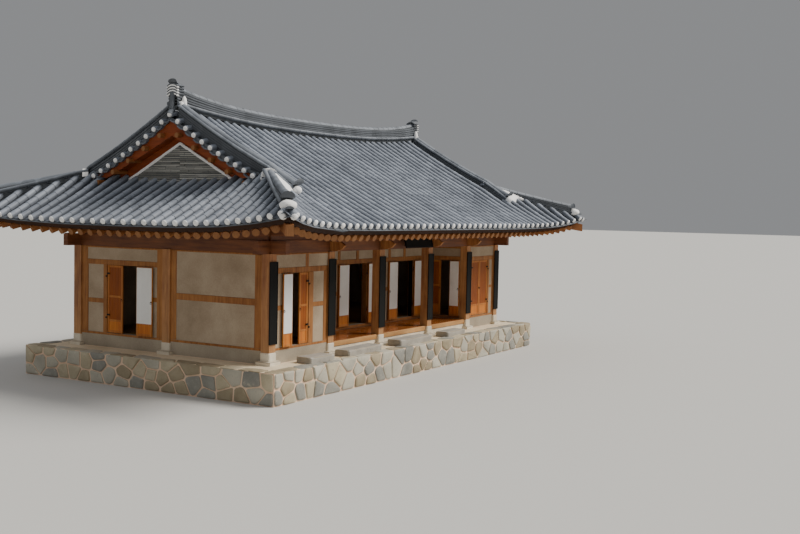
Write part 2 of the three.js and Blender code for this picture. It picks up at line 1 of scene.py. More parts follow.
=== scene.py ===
# %% [markdown]
# # A tile-roofed timber house
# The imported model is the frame: a stone podium, timber walls round a front porch, and a
# hip-and-gable roof. Each cell below dresses one part of it with what a solid can't show:
# roof tiles, lattice doors, boards, stones and finishes. Lengths are in metres, +Z is up
# and the porch looks towards -Y.

# %% Load the frame
import math
import random
import bmesh
import bpy
from mathutils import Matrix, Vector


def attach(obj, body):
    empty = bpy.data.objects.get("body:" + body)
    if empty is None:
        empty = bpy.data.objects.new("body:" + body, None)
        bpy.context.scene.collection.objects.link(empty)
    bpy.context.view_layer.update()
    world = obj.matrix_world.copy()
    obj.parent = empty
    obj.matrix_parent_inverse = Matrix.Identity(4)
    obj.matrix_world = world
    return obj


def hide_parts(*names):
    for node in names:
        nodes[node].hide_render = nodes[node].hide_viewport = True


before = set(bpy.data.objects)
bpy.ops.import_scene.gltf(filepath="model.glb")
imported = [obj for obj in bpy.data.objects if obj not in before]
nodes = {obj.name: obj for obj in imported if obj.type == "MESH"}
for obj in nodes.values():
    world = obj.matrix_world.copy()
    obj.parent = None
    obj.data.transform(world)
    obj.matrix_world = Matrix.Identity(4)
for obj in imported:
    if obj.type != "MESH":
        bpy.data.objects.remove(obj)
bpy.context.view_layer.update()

# %% [markdown]
# ## Camera
# The camera stands in front of the left corner, a little above the eaves, and looks along the
# front. Its place and turn come from lining up corners of the house, so they are numbers.
# The three axes are built from the heading, the tilt and a small roll.

# %% Camera
HEADING, TILT, LEAN = (math.radians(a) for a in (59.533, -3.037, 1.170))
ahead = Vector((math.sin(HEADING) * math.cos(TILT), math.cos(HEADING) * math.cos(TILT), math.sin(TILT)))
level = Vector((math.cos(HEADING), -math.sin(HEADING), 0))
over = level.cross(ahead)
right = math.cos(LEAN) * level + math.sin(LEAN) * over
upward = math.cos(LEAN) * over - math.sin(LEAN) * level
lens = bpy.data.cameras.new("camera")
lens.sensor_width, lens.lens = 36, 47.697
lens.clip_start, lens.clip_end = 0.5, 600
camera = bpy.data.objects.new("camera", lens)
camera.matrix_world = Matrix((right, upward, -ahead)).transposed().to_4x4()
camera.location = (-25.40, -17.98, 4.36)
bpy.context.scene.collection.objects.link(camera)
bpy.context.scene.camera = camera

# %% [markdown]
# ## Finishes
# A finish is a small graph of nodes. `Finish.add` makes any node: its settings go in first,
# then the values or links of its sockets. A `Value` wraps an output, so sums on it can be
# written as plain arithmetic and become Math nodes.

# %% Node helpers
class Value:
    """One output on its way through a finish; arithmetic on it adds Math nodes."""

    def __init__(self, finish, socket):
        self.finish, self.socket = finish, socket

    def math_node(self, operation, a, b):
        return self.finish.add("ShaderNodeMath", {"operation": operation}, {0: a, 1: b})

    def __add__(self, other):
        return self.math_node("ADD", self, other)

    def __sub__(self, other):
        return self.math_node("SUBTRACT", self, other)

    def __mul__(self, other):
        return self.math_node("MULTIPLY", self, other)

    def __rsub__(self, other):
        return self.math_node("SUBTRACT", other, self)

    def __gt__(self, other):
        return self.math_node("GREATER_THAN", self, other)

    __radd__, __rmul__ = __add__, __mul__


def paint(code):
    """A colour from its six-figure code, as the shader wants it."""
    parts = [int(code[i:i + 2], 16) / 255 for i in (0, 2, 4)]
    return (*(c / 12.92 if c <= 0.04045 else ((c + 0.055) / 1.055) ** 2.4 for c in parts), 1)


class Finish:
    """A material being made."""

    def __init__(self, name):
        self.material = bpy.data.materials.new(name)
        self.material.use_nodes = True
        self.tree = self.material.node_tree
        self.shader = self.tree.nodes["Principled BSDF"]
        self.spot = self.add("ShaderNodeTexCoord", output="Object")

    def add(self, kind, settings=None, inputs=None, output=0):
        node = self.tree.nodes.new(kind)
        for key, value in (settings or {}).items():
            if key == "stops":
                while len(node.color_ramp.elements) < len(value):
                    node.color_ramp.elements.new(0.5)
                for element, (place, colour) in zip(node.color_ramp.elements, value):
                    element.position, element.color = place, colour
            else:
                setattr(node, key, value)
        for key, value in (inputs or {}).items():
            self.feed(node.inputs[key], value)
        return Value(self, node.outputs[output])

    def feed(self, socket, value):
        if isinstance(value, Value):
            self.tree.links.new(value.socket, socket)
        else:
            socket.default_value = value

    def stretched(self, scale):
        return self.add("ShaderNodeMapping", None, {"Vector": self.spot, "Scale": scale})

    def noise(self, scale, detail=4, rough=0.55, vector=None):
        return self.add("ShaderNodeTexNoise", None, {"Vector": vector or self.spot, "Scale": scale,
                                                     "Detail": detail, "Roughness": rough})

    def ramp(self, value, *stops):
        return self.add("ShaderNodeValToRGB", {"stops": stops}, {"Fac": value})

    def mask(self, value, low, high):
        return self.add("ShaderNodeMapRange", {"interpolation_type": "SMOOTHSTEP"},
                        {"Value": value, "From Min": low, "From Max": high})

    def mix(self, factor, a, b):
        return self.add("ShaderNodeMix", {"data_type": "RGBA"}, {0: factor, 6: a, 7: b}, 2)

    def axes(self, vector=None):
        parts = self.add("ShaderNodeSeparateXYZ", None, {0: vector or self.spot})
        return [Value(self, out) for out in parts.socket.node.outputs]

    def facing(self):
        """The surface's own direction, as x, y and z."""
        return self.axes(self.add("ShaderNodeNewGeometry", output="Normal"))

    def bump(self, height, distance, strength=1.0):
        self.feed(self.shader.inputs["Normal"], self.add(
            "ShaderNodeBump", None, {"Height": height, "Distance": distance, "Strength": strength}))

    def done(self, colour, rough, **constants):
        self.feed(self.shader.inputs["Base Color"], colour)
        self.feed(self.shader.inputs["Roughness"], rough)
        for key, value in constants.items():
            self.shader.inputs[key.replace("_", " ")].default_value = value
        return self.material

# %% [markdown]
# ## Finishes of the house
# Fired clay tiles are blue-grey, and each one left the kiln a little different, so a cell of
# white noise per tile shifts its tone. Old pine is orange-brown with grain drawn out along the
# timber. Plaster, paper, mortar and stone get soft, large stains and a fine grain.

# %% Clay tile finish
def clay(name, dark, pale, cell, side_shade_strength=0.5, vary=0.2):
    f = Finish(name)
    spots = f.add("ShaderNodeVectorMath", {"operation": "SNAP"}, {0: f.spot, 1: cell})
    each = f.add("ShaderNodeTexWhiteNoise", None, {"Vector": spots})
    soft, fine = f.noise(0.8, 5, 0.6), f.noise(34, 4, 0.7)
    tone = f.ramp((each - 0.5) * vary + soft * 0.4 + fine * 0.3, (0.18, paint(dark)), (0.62, paint(pale)))
    # Faces turned away from the sky are mixed towards near-black "1d2024": painted shade down the sides of
    # each tile, so the ribs stand out.
    side_shade = f.mask(f.facing()[2], 0.55, 0.05)
    dust = f.mask(f.noise(3.1, 6, 0.7), 0.58, 0.78)
    worn = f.mix(dust * 0.3, tone, paint("8b8e90"))
    f.bump(fine, 0.003, 0.5)
    return f.done(f.mix(side_shade * side_shade_strength, worn, paint("1d2024")), 0.5 + fine * 0.22)


tile_finish = clay("cover_clay", "696f79", "a5acb7", (0.324, 0.31, 100))
# The troughs take a darker copy of the cover clay: painted shade in the grooves between the covers.
trough_shade_finish = clay("trough_clay_shaded", "444850", "747a84", (0.324, 0.31, 100))
ridge_finish = clay("ridge_clay", "44484d", "71767d", (0.3, 0.3, 100), 0.1)
roll_finish = clay("roll_clay", "565b62", "8b9199", (0.324, 0.31, 100), 0.3)
gable_finish = clay("gable_clay", "6a6963", "b9b7ae", (1, 1.7, 0.0235), 0, 0.5)

# %% Timber finishes
def timber(name, dark, pale, stretch, gloss=0.55, scale=1.0, shine=0.3):
    f = Finish(name)
    run = f.stretched(stretch)
    grain = f.noise(2.2 * scale, 6, 0.62, run)
    streak = f.noise(9 * scale, 3, 0.5, run)
    stain = f.noise(0.9, 4, 0.6)
    tone = f.ramp(grain * 0.6 + stain * 0.45 + streak * 0.12, (0.38, paint(dark)), (0.78, paint(pale)))
    checks = f.mask(streak, 0.66, 0.72)
    f.bump(grain * 0.6 - checks * 0.5, 0.004, 0.6)
    return f.done(f.mix(checks * 0.4, tone, paint("2a160c")), gloss + grain * 0.2, Specular_IOR_Level=shine)


UP, FLAT, ALONG_X = (7, 7, 0.55), (0.55, 0.55, 7), (0.55, 7, 7)
BEAM = 3.31
post_finish = timber("post_wood", "723f1c", "bd8249", UP)
beam_finish = timber("beam_wood", "4a240f", "7c4721", FLAT)
board_finish = timber("gable_board_wood", "64290c", "98481a", FLAT)
rafter_finish = timber("rafter_wood", "6b3c1d", "a56a37", FLAT)
cut_finish = timber("cut_end_wood", "74492a", "9c6e44", UP, 0.7, 3)
door_finish = timber("door_wood", "9a531d", "cc853e", UP, 0.5)
panel_finish = timber("door_panel_wood", "783809", "a9590f", UP, 0.5)
foot_finish = timber("door_foot_wood", "b0591a", "dc8a35", UP, 0.5)
deck_finish = timber("porch_board_wood", "763b15", "b06a33", ALONG_X, 0.14, 1.0, 0.5)
edge_finish = timber("porch_edge_wood", "9a6a3c", "d0a16a", ALONG_X, 0.4)
soffit_finish = timber("boarding_wood", "4a2611", "784623", FLAT)
# The board along the eaves is a near-black brown: painted shade under the eave tiles.
eave_board_shade_finish = timber("eave_board_shaded_wood", "2b1a10", "4a2c18", FLAT)


def frame_cover():
    """Columns have upright grain and are painted paler at the foot as sunlight; the beams over them are
    darker and run level.
    """
    f = Finish("frame_wood")
    z = f.axes()[2]
    upright_grain = f.noise(2.2, 6, 0.62, f.stretched(UP))
    level_grain = f.noise(2.2, 6, 0.62, f.stretched(FLAT))
    above = z > BEAM
    grain = upright_grain * (1 - above) + level_grain * above
    stain = f.noise(0.9, 4, 0.6)
    blend = grain * 0.65 + stain * 0.4
    post = f.ramp(blend, (0.38, paint("7f4b29")), (0.74, paint("cb925a")))
    top = f.ramp(blend, (0.38, paint("542b13")), (0.74, paint("8c542b")))
    # Towards the foot the columns are mixed towards pale tan "c39663": painted sunlight on their lower part.
    low = f.mask(z + stain * 0.5, 1.9, 1.2)
    f.bump(grain, 0.004, 0.6)
    return f.done(f.mix(above, f.mix(low * 0.45, post, paint("c39663")), top), 0.55 + grain * 0.2)


frame_finish = frame_cover()

# %% Plaster, paper, mortar, sand and stone finishes
def mineral(name, dark, pale, scale, rough=0.85, depth=0.003, spots=None):
    f = Finish(name)
    cloud = f.noise(scale, 5, 0.6)
    grit = f.noise(scale * 26, 3, 0.7)
    tone = f.ramp(cloud * 0.75 + grit * 0.3, (0.35, paint(dark)), (0.75, paint(pale)))
    if spots:
        tone = f.mix(f.mask(f.noise(scale * 4, 5, 0.65), 0.58, 0.7) * 0.6, tone, paint(spots))
    f.bump(grit * 0.5 + cloud, depth, 0.7)
    return f.done(tone, rough)


plaster_finish = mineral("wall_plaster", "9a856c", "c3b096", 1.1, 0.9)
white_finish = mineral("white_plaster", "ebe9e4", "ffffff", 5, 0.8, 0.006)
joint_finish = mineral("ridge_mortar", "3f4346", "65696c", 3, 0.9)
STONES = [
    ("grey", "76746c", "a3a094", "b9b09a"),
    ("cream", "a2957a", "ccc0a4", "8f8773"),
    ("brown", "87795f", "b2a488", "9a917d"),
    ("pale", "9e998a", "c5beab", "878172"),
]
stone_finishes = [mineral("field_stone_" + word, dark, pale, 1.9, 0.85, 0.014, spots)
                  for word, dark, pale, spots in STONES]
block_finish = mineral("dressed_stone", "857f75", "b5aea1", 2.6, 0.85, 0.006, "6f6a62")
plinth_finish = mineral("plinth_stone", "c9bda6", "eee5d3", 2.6, 0.85, 0.006, "b3a78f")
paper_finish = mineral("door_paper", "ebe9e3", "fbfaf6", 1.5, 0.75, 0.001)
earth_finish = mineral("floor_paper", "a97b3f", "c99b5a", 0.9, 0.5, 0.001)


def iron():
    f = Finish("hinge_iron")
    rub = f.noise(60, 4, 0.6)
    f.bump(rub, 0.001, 0.5)
    return f.done(f.ramp(rub, (0.3, paint("15130f")), (0.8, paint("3a332b"))), 0.5 + rub * 0.3, Metallic=0.6)


def lacquer():
    f = Finish("board_lacquer")
    run = f.noise(3, 5, 0.6, f.stretched(UP))
    f.bump(run, 0.002, 0.5)
    black = f.ramp(run, (0.3, paint("080908")), (0.8, paint("171613")))
    return f.done(black, 0.6 + run * 0.2, Specular_IOR_Level=0.2)


iron_finish, lacquer_finish = iron(), lacquer()

# %% Podium finish: sand on top, mortar on the sides, dressed stone above
def podium_cover():
    f = Finish("podium_cover")
    cloud, grit = f.noise(0.9, 5, 0.6), f.noise(48, 3, 0.7)
    blend = cloud * 0.7 + grit * 0.35
    sand, side, block = (f.ramp(blend, (0.35, paint(dark)), (0.72, paint(pale)))
                         for dark, pale in (("cdb996", "eee0c4"), ("dcb698", "f2d9bd"), ("8e8371", "b9ac97")))
    top = f.mix(f.mask(f.facing()[2], 0.5, 0.8), side, sand)
    f.bump(grit * 0.6 + cloud, 0.006, 0.7)
    return f.done(f.mix(f.mask(f.axes()[2], 0.745, 0.75), top, block), 0.93)


podium_finish = podium_cover()
print("finishes", len(bpy.data.materials))

# %% [markdown]
# ## Making pieces
# `place` builds the matrix that carries a shape from the origin to where it belongs, `stamp`
# adds a copy of a small mesh, `loft` draws an outline through a row of rings, and `beam` is a
# timber with softened edges. `saved` turns a finished bmesh into a mesh, and `piece` into an
# object that rides on a body of the frame.

# %% Mesh helpers
LIE = Matrix.Rotation(math.radians(90), 4, "X")


def place(origin, along, up=(0, 0, 1), scale=(1, 1, 1)):
    """Y runs along, Z is as near to up as it can be, X is to the side."""
    y = Vector(along).normalized()
    x = y.cross(Vector(up)).normalized()
    m = Matrix((x, y, x.cross(y))).transposed().to_4x4()
    m.translation = origin
    return m @ Matrix.Diagonal((*scale, 1))


def stamp(bm, mesh, matrix):
    copy = mesh.copy()
    copy.transform(matrix)
    bm.from_mesh(copy)
    bpy.data.meshes.remove(copy)


def loft(bm, rings, mat=0):
    """A closed body drawn through rings of points; the first and last are its ends."""
    start = face = bm.faces.new([bm.verts.new(p) for p in rings[0]])
    made = []
    for ring in rings[1:]:
        grown = bmesh.ops.extrude_face_region(bm, geom=[face])["geom"]
        face = next(g for g in grown if isinstance(g, bmesh.types.BMFace))
        for vert, point in zip(face.verts, ring):
            vert.co = point
        made += [f for v in face.verts for f in v.link_faces]
    for f in {*made, *([start] if start.is_valid else [])}:
        f.material_index = mat


def beam(bm, x, y, z, edge=0.008, mat=0, turn=None):
    """A squared timber from its three ranges, with softened edges."""
    size = [b - a for a, b in (x, y, z)]
    mid = [(a + b) / 2 for a, b in (x, y, z)]
    m = Matrix.Translation(mid) @ Matrix.Diagonal((*size, 1))
    verts = bmesh.ops.create_cube(bm, size=1, matrix=(turn or Matrix()) @ m)["verts"]
    edges = {e for v in verts for e in v.link_edges}
    faces = {f for v in verts for f in v.link_faces}
    for f in faces:
        f.material_index = mat
    if edge:
        bmesh.ops.bevel(bm, geom=list(edges), offset=min(edge, 0.4 * min(size)), offset_type="OFFSET",
                        segments=1, profile=0.5, affect="EDGES", material=-1, clamp_overlap=True)


def rod(bm, a, b, radius, sides=12, mat=0, end=None):
    """A round timber or pin from a to b."""
    a, b = Vector(a), Vector(b)
    m = place((a + b) / 2, b - a) @ Matrix.Rotation(math.radians(-90), 4, "X")
    made = bmesh.ops.create_cone(bm, cap_ends=True, segments=sides, radius1=radius, radius2=radius,
                                 depth=(b - a).length, matrix=m)["verts"]
    for f in {f for v in made for f in v.link_faces}:
        f.material_index = mat if end is None or len(f.verts) == 4 else end


def saved(name, bm):
    bmesh.ops.recalc_face_normals(bm, faces=bm.faces)
    mesh = bpy.data.meshes.new(name)
    bm.to_mesh(mesh)
    bm.free()
    return mesh


def copied(node):
    """A merged copy of a solid of the frame, to be reshaped."""
    bm = bmesh.new()
    bm.from_mesh(nodes[node].data)
    bmesh.ops.remove_doubles(bm, verts=bm.verts, dist=0.0002)
    return bm


def cut(bm, at, normal, clear=False):
    bmesh.ops.bisect_plane(bm, geom=bm.verts[:] + bm.edges[:] + bm.faces[:], dist=0.0005,
                           plane_co=at, plane_no=normal, clear_outer=clear)


def piece(name, bm, finishes, body="house", smooth=None, instead=()):
    mesh = saved(name, bm)
    if smooth:
        mesh.shade_smooth()
        mesh.set_sharp_from_angle(angle=math.radians(smooth))
    for finish in finishes:
        mesh.materials.append(finish)
    thing = bpy.data.objects.new(name, mesh)
    bpy.context.scene.collection.objects.link(thing)
    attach(thing, body)
    if instead:
        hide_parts(*instead)

# %% [markdown]
# ## Floor and light
# A plain pale floor carries the podium. The surround is even and dim, a very broad lamp stands
# overhead, and a soft sun from the front right lights the porch and leaves the end wall in shade.

# %% Floor and light
bm = bmesh.new()
bmesh.ops.create_grid(bm, x_segments=1, y_segments=1, size=260)
ground = bpy.data.meshes.new("floor")
bm.to_mesh(ground)
bm.free()
floor = bpy.data.objects.new("floor", ground)
floor_paint = Finish("pale_floor")
ground.materials.append(floor_paint.done(paint("bfbdb8"), 0.9))
bpy.context.scene.collection.objects.link(floor)

world = bpy.data.worlds.new("studio")
bpy.context.scene.world = world
world.use_nodes = True
world.node_tree.nodes["Background"].inputs["Color"].default_value = paint("f2f4f7")
world.node_tree.nodes["Background"].inputs["Strength"].default_value = 0.30
for name, energy, spread, colour, turn in (("sun", 4.5, 30, (1.0, 0.965, 0.91), (46, 0, 40)),
                                           ("overhead", 0.8, 130, (0.95, 0.97, 1.0), (0, 0, 0))):
    lamp = bpy.data.objects.new(name, bpy.data.lights.new(name, "SUN"))
    lamp.data.energy, lamp.data.angle, lamp.data.color = energy, math.radians(spread), colour
    lamp.rotation_euler = [math.radians(v) for v in turn]
    bpy.context.scene.collection.objects.link(lamp)

# %% [markdown]
# ## The roof's surface
# The eaves bow in plan and lift at the corners, as such roofs do, so every tile is placed from
# one formula. A point is named by `s`, from 0 at the eave to 1 at the ridge, and `u`, across.
# `roof_at` finds the height over any point of the plan.

# %% Roof surface
EX, EY, BOW, EAVE_Z, RISE = 8.258, 5.358, 0.588, 3.98, 2.5
CORNER_LIFT, RIDGE_LIFT, VERGE, GABLE = 0.328, 0.310, 5.95, 5.588
FRONT_BOW, END_BOW = 4.6, 2.17
FRONT_LIFT, END_LIFT = 7.5, 3.27
KINK, KINK_Z = 0.3606, 4.436
HIP = EX - EY


def front_spot(s, u):
    return u * max(VERGE, EX - EY * s), -(1 - s) * (EY - BOW * (1 - abs(u) ** FRONT_BOW))


def end_spot(s, v):
    return -EX + EY * s + BOW * (1 - s) * (1 - abs(v) ** END_BOW), v * EY * (1 - s)


def top_height(s, u, power):
    w = abs(u)
    return EAVE_Z + RISE * (0.89 * s + 0.11 * s * s) + CORNER_LIFT * w ** power * (1 - s) ** 2 \
        + RIDGE_LIFT * s * s * w ** 2.5


def low_height(s, u, power):
    """The underside, which is steeper above the line where the rafters stop."""
    slope = 2.025 if s < KINK else 2.648
    return KINK_Z + slope * (s - KINK) + CORNER_LIFT * abs(u) ** power * (1 - s) ** 2


def end_at(x, y):
    """Height of an end slope, also where it runs in under the verge."""
    x, y = abs(x), abs(y)
    s, v = (EX - x) / EY, 0
    for _ in range(30):
        v = min(1, y / (EY * (1 - s)))
        s = (EX - x - BOW * (1 - s) * (1 - v ** END_BOW)) / EY
    return top_height(s, v, END_LIFT)


def roof_at(x, y):
    x, y = abs(x), abs(y)
    if x > max(VERGE + 0.001, HIP + y):
        return end_at(x, y)
    s, u = 1 - y / EY, 0
    for _ in range(24):
        u = min(1, x / max(VERGE, EX - EY * s))
        s = 1 - y / (EY - BOW * (1 - u ** FRONT_BOW))
    return top_height(s, u, FRONT_LIFT)


def line(a, b, step, height=roof_at):
    """Points on the roof from plan point a to plan point b, about step apart."""
    a, b = Vector(a), Vector(b)
    rise = height(*b) - height(*a)
    count = max(1, round(math.hypot((b - a).length, rise) / step))
    spots = [a.lerp(b, k / count) for k in range(count + 1)]
    return [Vector((p.x, p.y, height(p.x, p.y))) for p in spots]

# %% [markdown]
# ## Roof tiles
# The covering is two tiles: a wide trough, laid face up and lapped so that a third of it shows,
# and a half-round cover over each joint. Each is a shape of a dozen or two faces, stamped in
# lines from the eave up to the ridge or the hip. Their lower ends stand a little proud of the
# next tile, which draws the shadow lines across the roof.

# %% One cover tile, one trough tile and one plaster plug
LINES, SIDE_LINES = 51, 33
PITCH, SIDE_PITCH = 2 * EX / LINES, 2 * EY / SIDE_LINES
ARC = [math.radians(a) for a in range(0, 181, 30)]


def cover_tile():
    bm = bmesh.new()
    ring = lambda y, r: [Vector((r * math.cos(a), y, r * math.sin(a) - 0.02)) for a in ARC] + [
        Vector((-r, y, -0.06)), Vector((r, y, -0.06))]
    loft(bm, [ring(0, 0.083), ring(1, 0.074)])
    return saved("cover", bm)


def trough_tile():
    bm, half = bmesh.new(), PITCH / 2 + 0.01
    across = [-1, -0.5, 0, 0.5, 1]
    ring = lambda y, drop: [Vector((half * t, y, -0.072 + 0.05 * t * t - drop)) for t in across] + [
        Vector((half * t, y, -0.09 + 0.05 * t * t - drop)) for t in reversed(across)]
    loft(bm, [ring(0, 0), ring(1, 0.017)])
    return saved("trough", bm)


def plug():
    bm = bmesh.new()
    bmesh.ops.create_uvsphere(bm, u_segments=10, v_segments=6, radius=1, matrix=LIE)
    bmesh.ops.scale(bm, vec=(0.080, 0.046, 0.077), verts=bm.verts)
    bmesh.ops.translate(bm, vec=(0, 0.006, -0.010), verts=bm.verts)
    return saved("plug", bm)


cover, trough, plaster_plug = cover_tile(), trough_tile(), plug()


def lay(bm, tile, points, lap, width=1.0):
    for a, b in zip(points, points[1:]):
        along = b - a
        stamp(bm, tile, place(a, along, scale=(width, along.length + lap, 1)))


def tile_line(bms, a, b, joint_a, joint_b, height=roof_at):
    """One line of cover tiles from the eave point a to b, its plug, and the troughs beside it."""
    covers, troughs, plugs = bms
    points = line(a, b, 0.30, height)
    lay(covers, cover, points, 0.02)
    stamp(plugs, plaster_plug, place(points[0], points[1] - points[0]))
    lay(troughs, trough, line(joint_a, joint_b, 0.15, height), 0.03)


def tile_pieces(bms, names, under=trough_shade_finish):
    """The covers, troughs and plugs of one part of the roof, as pieces."""
    kinds = ((tile_finish, "roof_tile", 50), (under, "roof_tile", 50), (white_finish, "plaster", 80))
    for name, bm, (finish, slot, smooth) in zip(names, bms, kinds):
        piece(name, bm, [finish], smooth=smooth)

# %% Lay the long slopes
def main_ends(x, side):
    """The eave point and the top point of a line of tiles at x on a long slope."""
    eave = EY - BOW * (1 - (abs(x) / EX) ** FRONT_BOW)
    top = 0.12 if abs(x) < 5.66 else (3.5 if abs(x) < 5.98 else abs(x) - HIP)
    return (x, side * eave), (x, side * min(top, eave - 0.1))


def long_slope(side, word):
    bms = [bmesh.new() for _ in range(3)]
    for k in range(LINES):
        x = -EX + k * PITCH
        near, far = main_ends(x + PITCH / 2, side)
        if k:
            tile_line(bms, *main_ends(x, side), near, far)
        else:
            lay(bms[1], trough, line(near, far, 0.15), 0.03)
    tile_pieces(bms, ["cover_tiles_" + word, "trough_tiles_" + word, "plugs_" + word])


long_slope(-1, "front")
long_slope(1, "back")

# %% Lay the end slopes
def end_ends(y, side):
    v = abs(y) / EY
    eave = EX - BOW * (1 - v ** END_BOW)
    top = max(GABLE + 0.03, HIP + abs(y))
    return (side * eave, y), (side * min(top, eave - 0.08), y)


def end_slope(side, word):
    bms = [bmesh.new() for _ in range(3)]
    for k in range(SIDE_LINES):
        y = -EY + k * SIDE_PITCH
        near, far = end_ends(y + SIDE_PITCH / 2, side)
        if k:
            tile_line(bms, *end_ends(y, side), near, far, end_at)
    tile_pieces(bms, ["cover_tiles_" + word, "trough_tiles_" + word, "plugs_" + word])


end_slope(-1, "left")
end_slope(1, "right")

# %% [markdown]
# ## Roof bed
# Under the tiles lies the bed of boards and clay. Its solid is the frame's roof slab, whose top
# stands where the tiles' crowns are, so a merged copy has its upper face sunk below them. It sinks
# further along the gables, where the verge tiles lie a step lower, and the edge sinks with it.

# %% Sunk copies of the roof slabs
SINK, VERGE_SINK, EDGE_SINK = 0.158, 0.33, 0.25
STEP_X, STEP_Y, EDGE_X = 5.63, 3.03, 5.855


def roof_bed(node, ends):
    bm = copied(node)
    if not ends:
        for x in (STEP_X - 0.01, STEP_X + 0.01):
            cut(bm, (x, 0, 0), (1, 0, 0))
            cut(bm, (-x, 0, 0), (1, 0, 0))
        for y in (STEP_Y + 0.01, -STEP_Y - 0.01):
            cut(bm, (0, y, 0), (0, 1, 0))
    for v in bm.verts:
        x, y = abs(v.co.x), abs(v.co.y)
        deep = (end_at if ends else roof_at)(x, y) - v.co.z
        verge = not ends and x > STEP_X and y < STEP_Y
        if deep < 0.03:
            v.co.z -= VERGE_SINK if verge else SINK
        elif verge and x > EDGE_X and deep < 0.2:
            v.co.z -= EDGE_SINK
    for f in bm.faces:
        f.material_index = int(f.normal.z < -0.2)
    piece(node + "_bed", bm, [ridge_finish, soffit_finish], instead=[node])


for word in ("front", "back", "left", "right"):
    roof_bed("roof_" + word, word in ("left", "right"))

# %% [markdown]
# ## Ridges
# A ridge is a wall of flat tiles bedded in dark mortar, with a line of half-round tiles on top.
# A narrow core shows as the joint, each course stands out from it, and the whole is drawn along
# the ridge's line, which rises towards its ends. The ends are upturned arch tiles on lumps of
# white plaster, and the main ridge ends in a round stack.

# %% Ridge maker
ROLL = 0.05
AROUND = [math.radians(a) for a in range(0, 360, 45)]


def arch(m, r, x=0, z=0, turns=ARC):
    """Points round x and z in the upright plane of the placing m; half a circle if not told."""
    return [m @ Vector((x + r * math.cos(a), 0, z + r * math.sin(a))) for a in turns]


def ridge_places(stops, spread=0.3):
    """Upright placings along the ridge: each stop is x, y and the height over the roof."""
    out = []
    for (x0, y0, h0), (x1, y1, h1) in zip(stops, stops[1:]):
        count = max(1, round(math.hypot(x1 - x0, y1 - y0) / spread))
        last = (x1, y1) == stops[-1][:2]
        for k in range(count + last):
            t = k / count
            x, y = x0 + (x1 - x0) * t, y0 + (y1 - y0) * t
            level = place(Vector((x, y, roof_at(x, y))), (x1 - x0, y1 - y0, 0))
            out.append((level, h0 + (h1 - h0) * t))
    return out


def ridge_wall(bms, stops, width, course=0.055, cap=0.085, roll=0.06, base=0.03, sides=(-1, 1)):
    """A ridge: its core, its flat courses, a roll of round tiles down each side and one on top."""
    dark, joint, rounds = bms
    spots = ridge_places(stops)
    courses = max(1, round((min(h for _, h in spots) - cap - base) / course))
    box = lambda m, w, a, b: [m @ Vector(p) for p in ((-w, 0, a), (w, 0, a), (w, 0, b), (-w, 0, b))]
    loft(joint, [box(m, width / 2 - 0.022, base - 0.06, h - cap - 0.01) for m, h in spots])
    for k in range(courses):
        half = width / 2 - (0.010 if k % 2 else 0) - (0.008 if k == 0 else 0)
        room = [(h - cap - base - 0.005) / courses for _, h in spots]
        loft(dark, [box(m, half, base + k * r, base + (k + 0.64) * r) for (m, _), r in zip(spots, room)])
    for (m, h), (n, g) in zip(spots, spots[1:]):
        loft(rounds, [arch(m, cap + 0.003, 0, h - cap), arch(n, cap - 0.003, 0, g - cap)])
        for side in sides:
            x = side * (width / 2 + 0.005)
            loft(rounds, [arch(m, ROLL, x, roll, AROUND), arch(n, ROLL - 0.005, x, roll, AROUND)])


def end_tile(bm, at, along, half, tall, curl=0.10):
    """The arch tile that closes a ridge; its edge curls up as it goes out."""
    out = Vector((*along, 0)).normalized()
    rings = []
    for reach, lift, grow in ((-0.16, 0.0, 0.85), (-0.04, 0.1, 0.95), (0.05, 0.5, 1.06), (0.085, 1.0, 1.12)):
        m = place(Vector(at) + out * reach, out)
        rings.append([m @ Vector((grow * half * math.cos(a), 0, lift * curl + grow * tall * math.sin(a)))
                      for a in ARC])
    loft(bm, rings)


def arch_band(bm, sx, z, thick, half, inner, radius=0.255):
    """One arched layer of the stack that ends the main ridge."""
    lean = math.asin(half / radius)
    turns = [-lean + 2 * lean * k / 8 for k in range(9)]
    arc = lambda x, r: [Vector((sx * x, r * math.sin(t), z + r * math.cos(t) - radius)) for t in turns]
    loft(bm, [arc(x, radius) + arc(x, radius - thick)[::-1] for x in (inner, 5.915)])


def lump(bm, at, size, rnd):
    """A hand-pressed lump of plaster."""
    made = bmesh.ops.create_icosphere(bm, subdivisions=3, radius=1)["verts"]
    for v in made:
        v.co *= rnd.uniform(0.96, 1.03)
    bmesh.ops.scale(bm, vec=[v / 2 for v in size], verts=made)
    bmesh.ops.translate(bm, vec=at, verts=made)

# %% Main ridge and the stack at each end of it
dark, joint, rounds, white = (bmesh.new() for _ in range(4))
bms = dark, joint, rounds
rnd = random.Random(3)
RIDGE_END = 5.88
crown = roof_at(5.86, 0)
stations = [RIDGE_END * (k / 10 - 1) for k in range(21)]
ridge_wall(bms, [(x, 0, 0.43 + 0.11 * (abs(x) / 5.9) ** 6) for x in stations], 0.30, roll=0.075)


def stack(sx):
    """Four white bands between dark ones, a curled tile on top, and round tiles down the front."""
    for k in range(4):
        arch_band(white, sx, crown + 0.335 + 0.066 * k, 0.032, 0.178, 5.855)
        arch_band(dark, sx, crown + 0.370 + 0.066 * k, 0.034, 0.168, 5.66)
    end_tile(dark, (sx * 5.83, 0, crown + 0.53), (sx, 0), 0.125, 0.06, 0.08)
    rod(dark, (sx * 5.89, 0, crown + 0.34), (sx * 5.93, 0, crown - 0.06), 0.068, 14)
    rod(rounds, (sx * 5.86, 0, crown - 0.02), (sx * 5.99, 0, crown - 0.20), 0.074, 14)

# %% Descending ridges
DOWN_X = 5.74
DOWN_HEIGHTS = (0.14, 0.24), (2.3, 0.24), (3.2, 0.25), (3.62, 0.30)


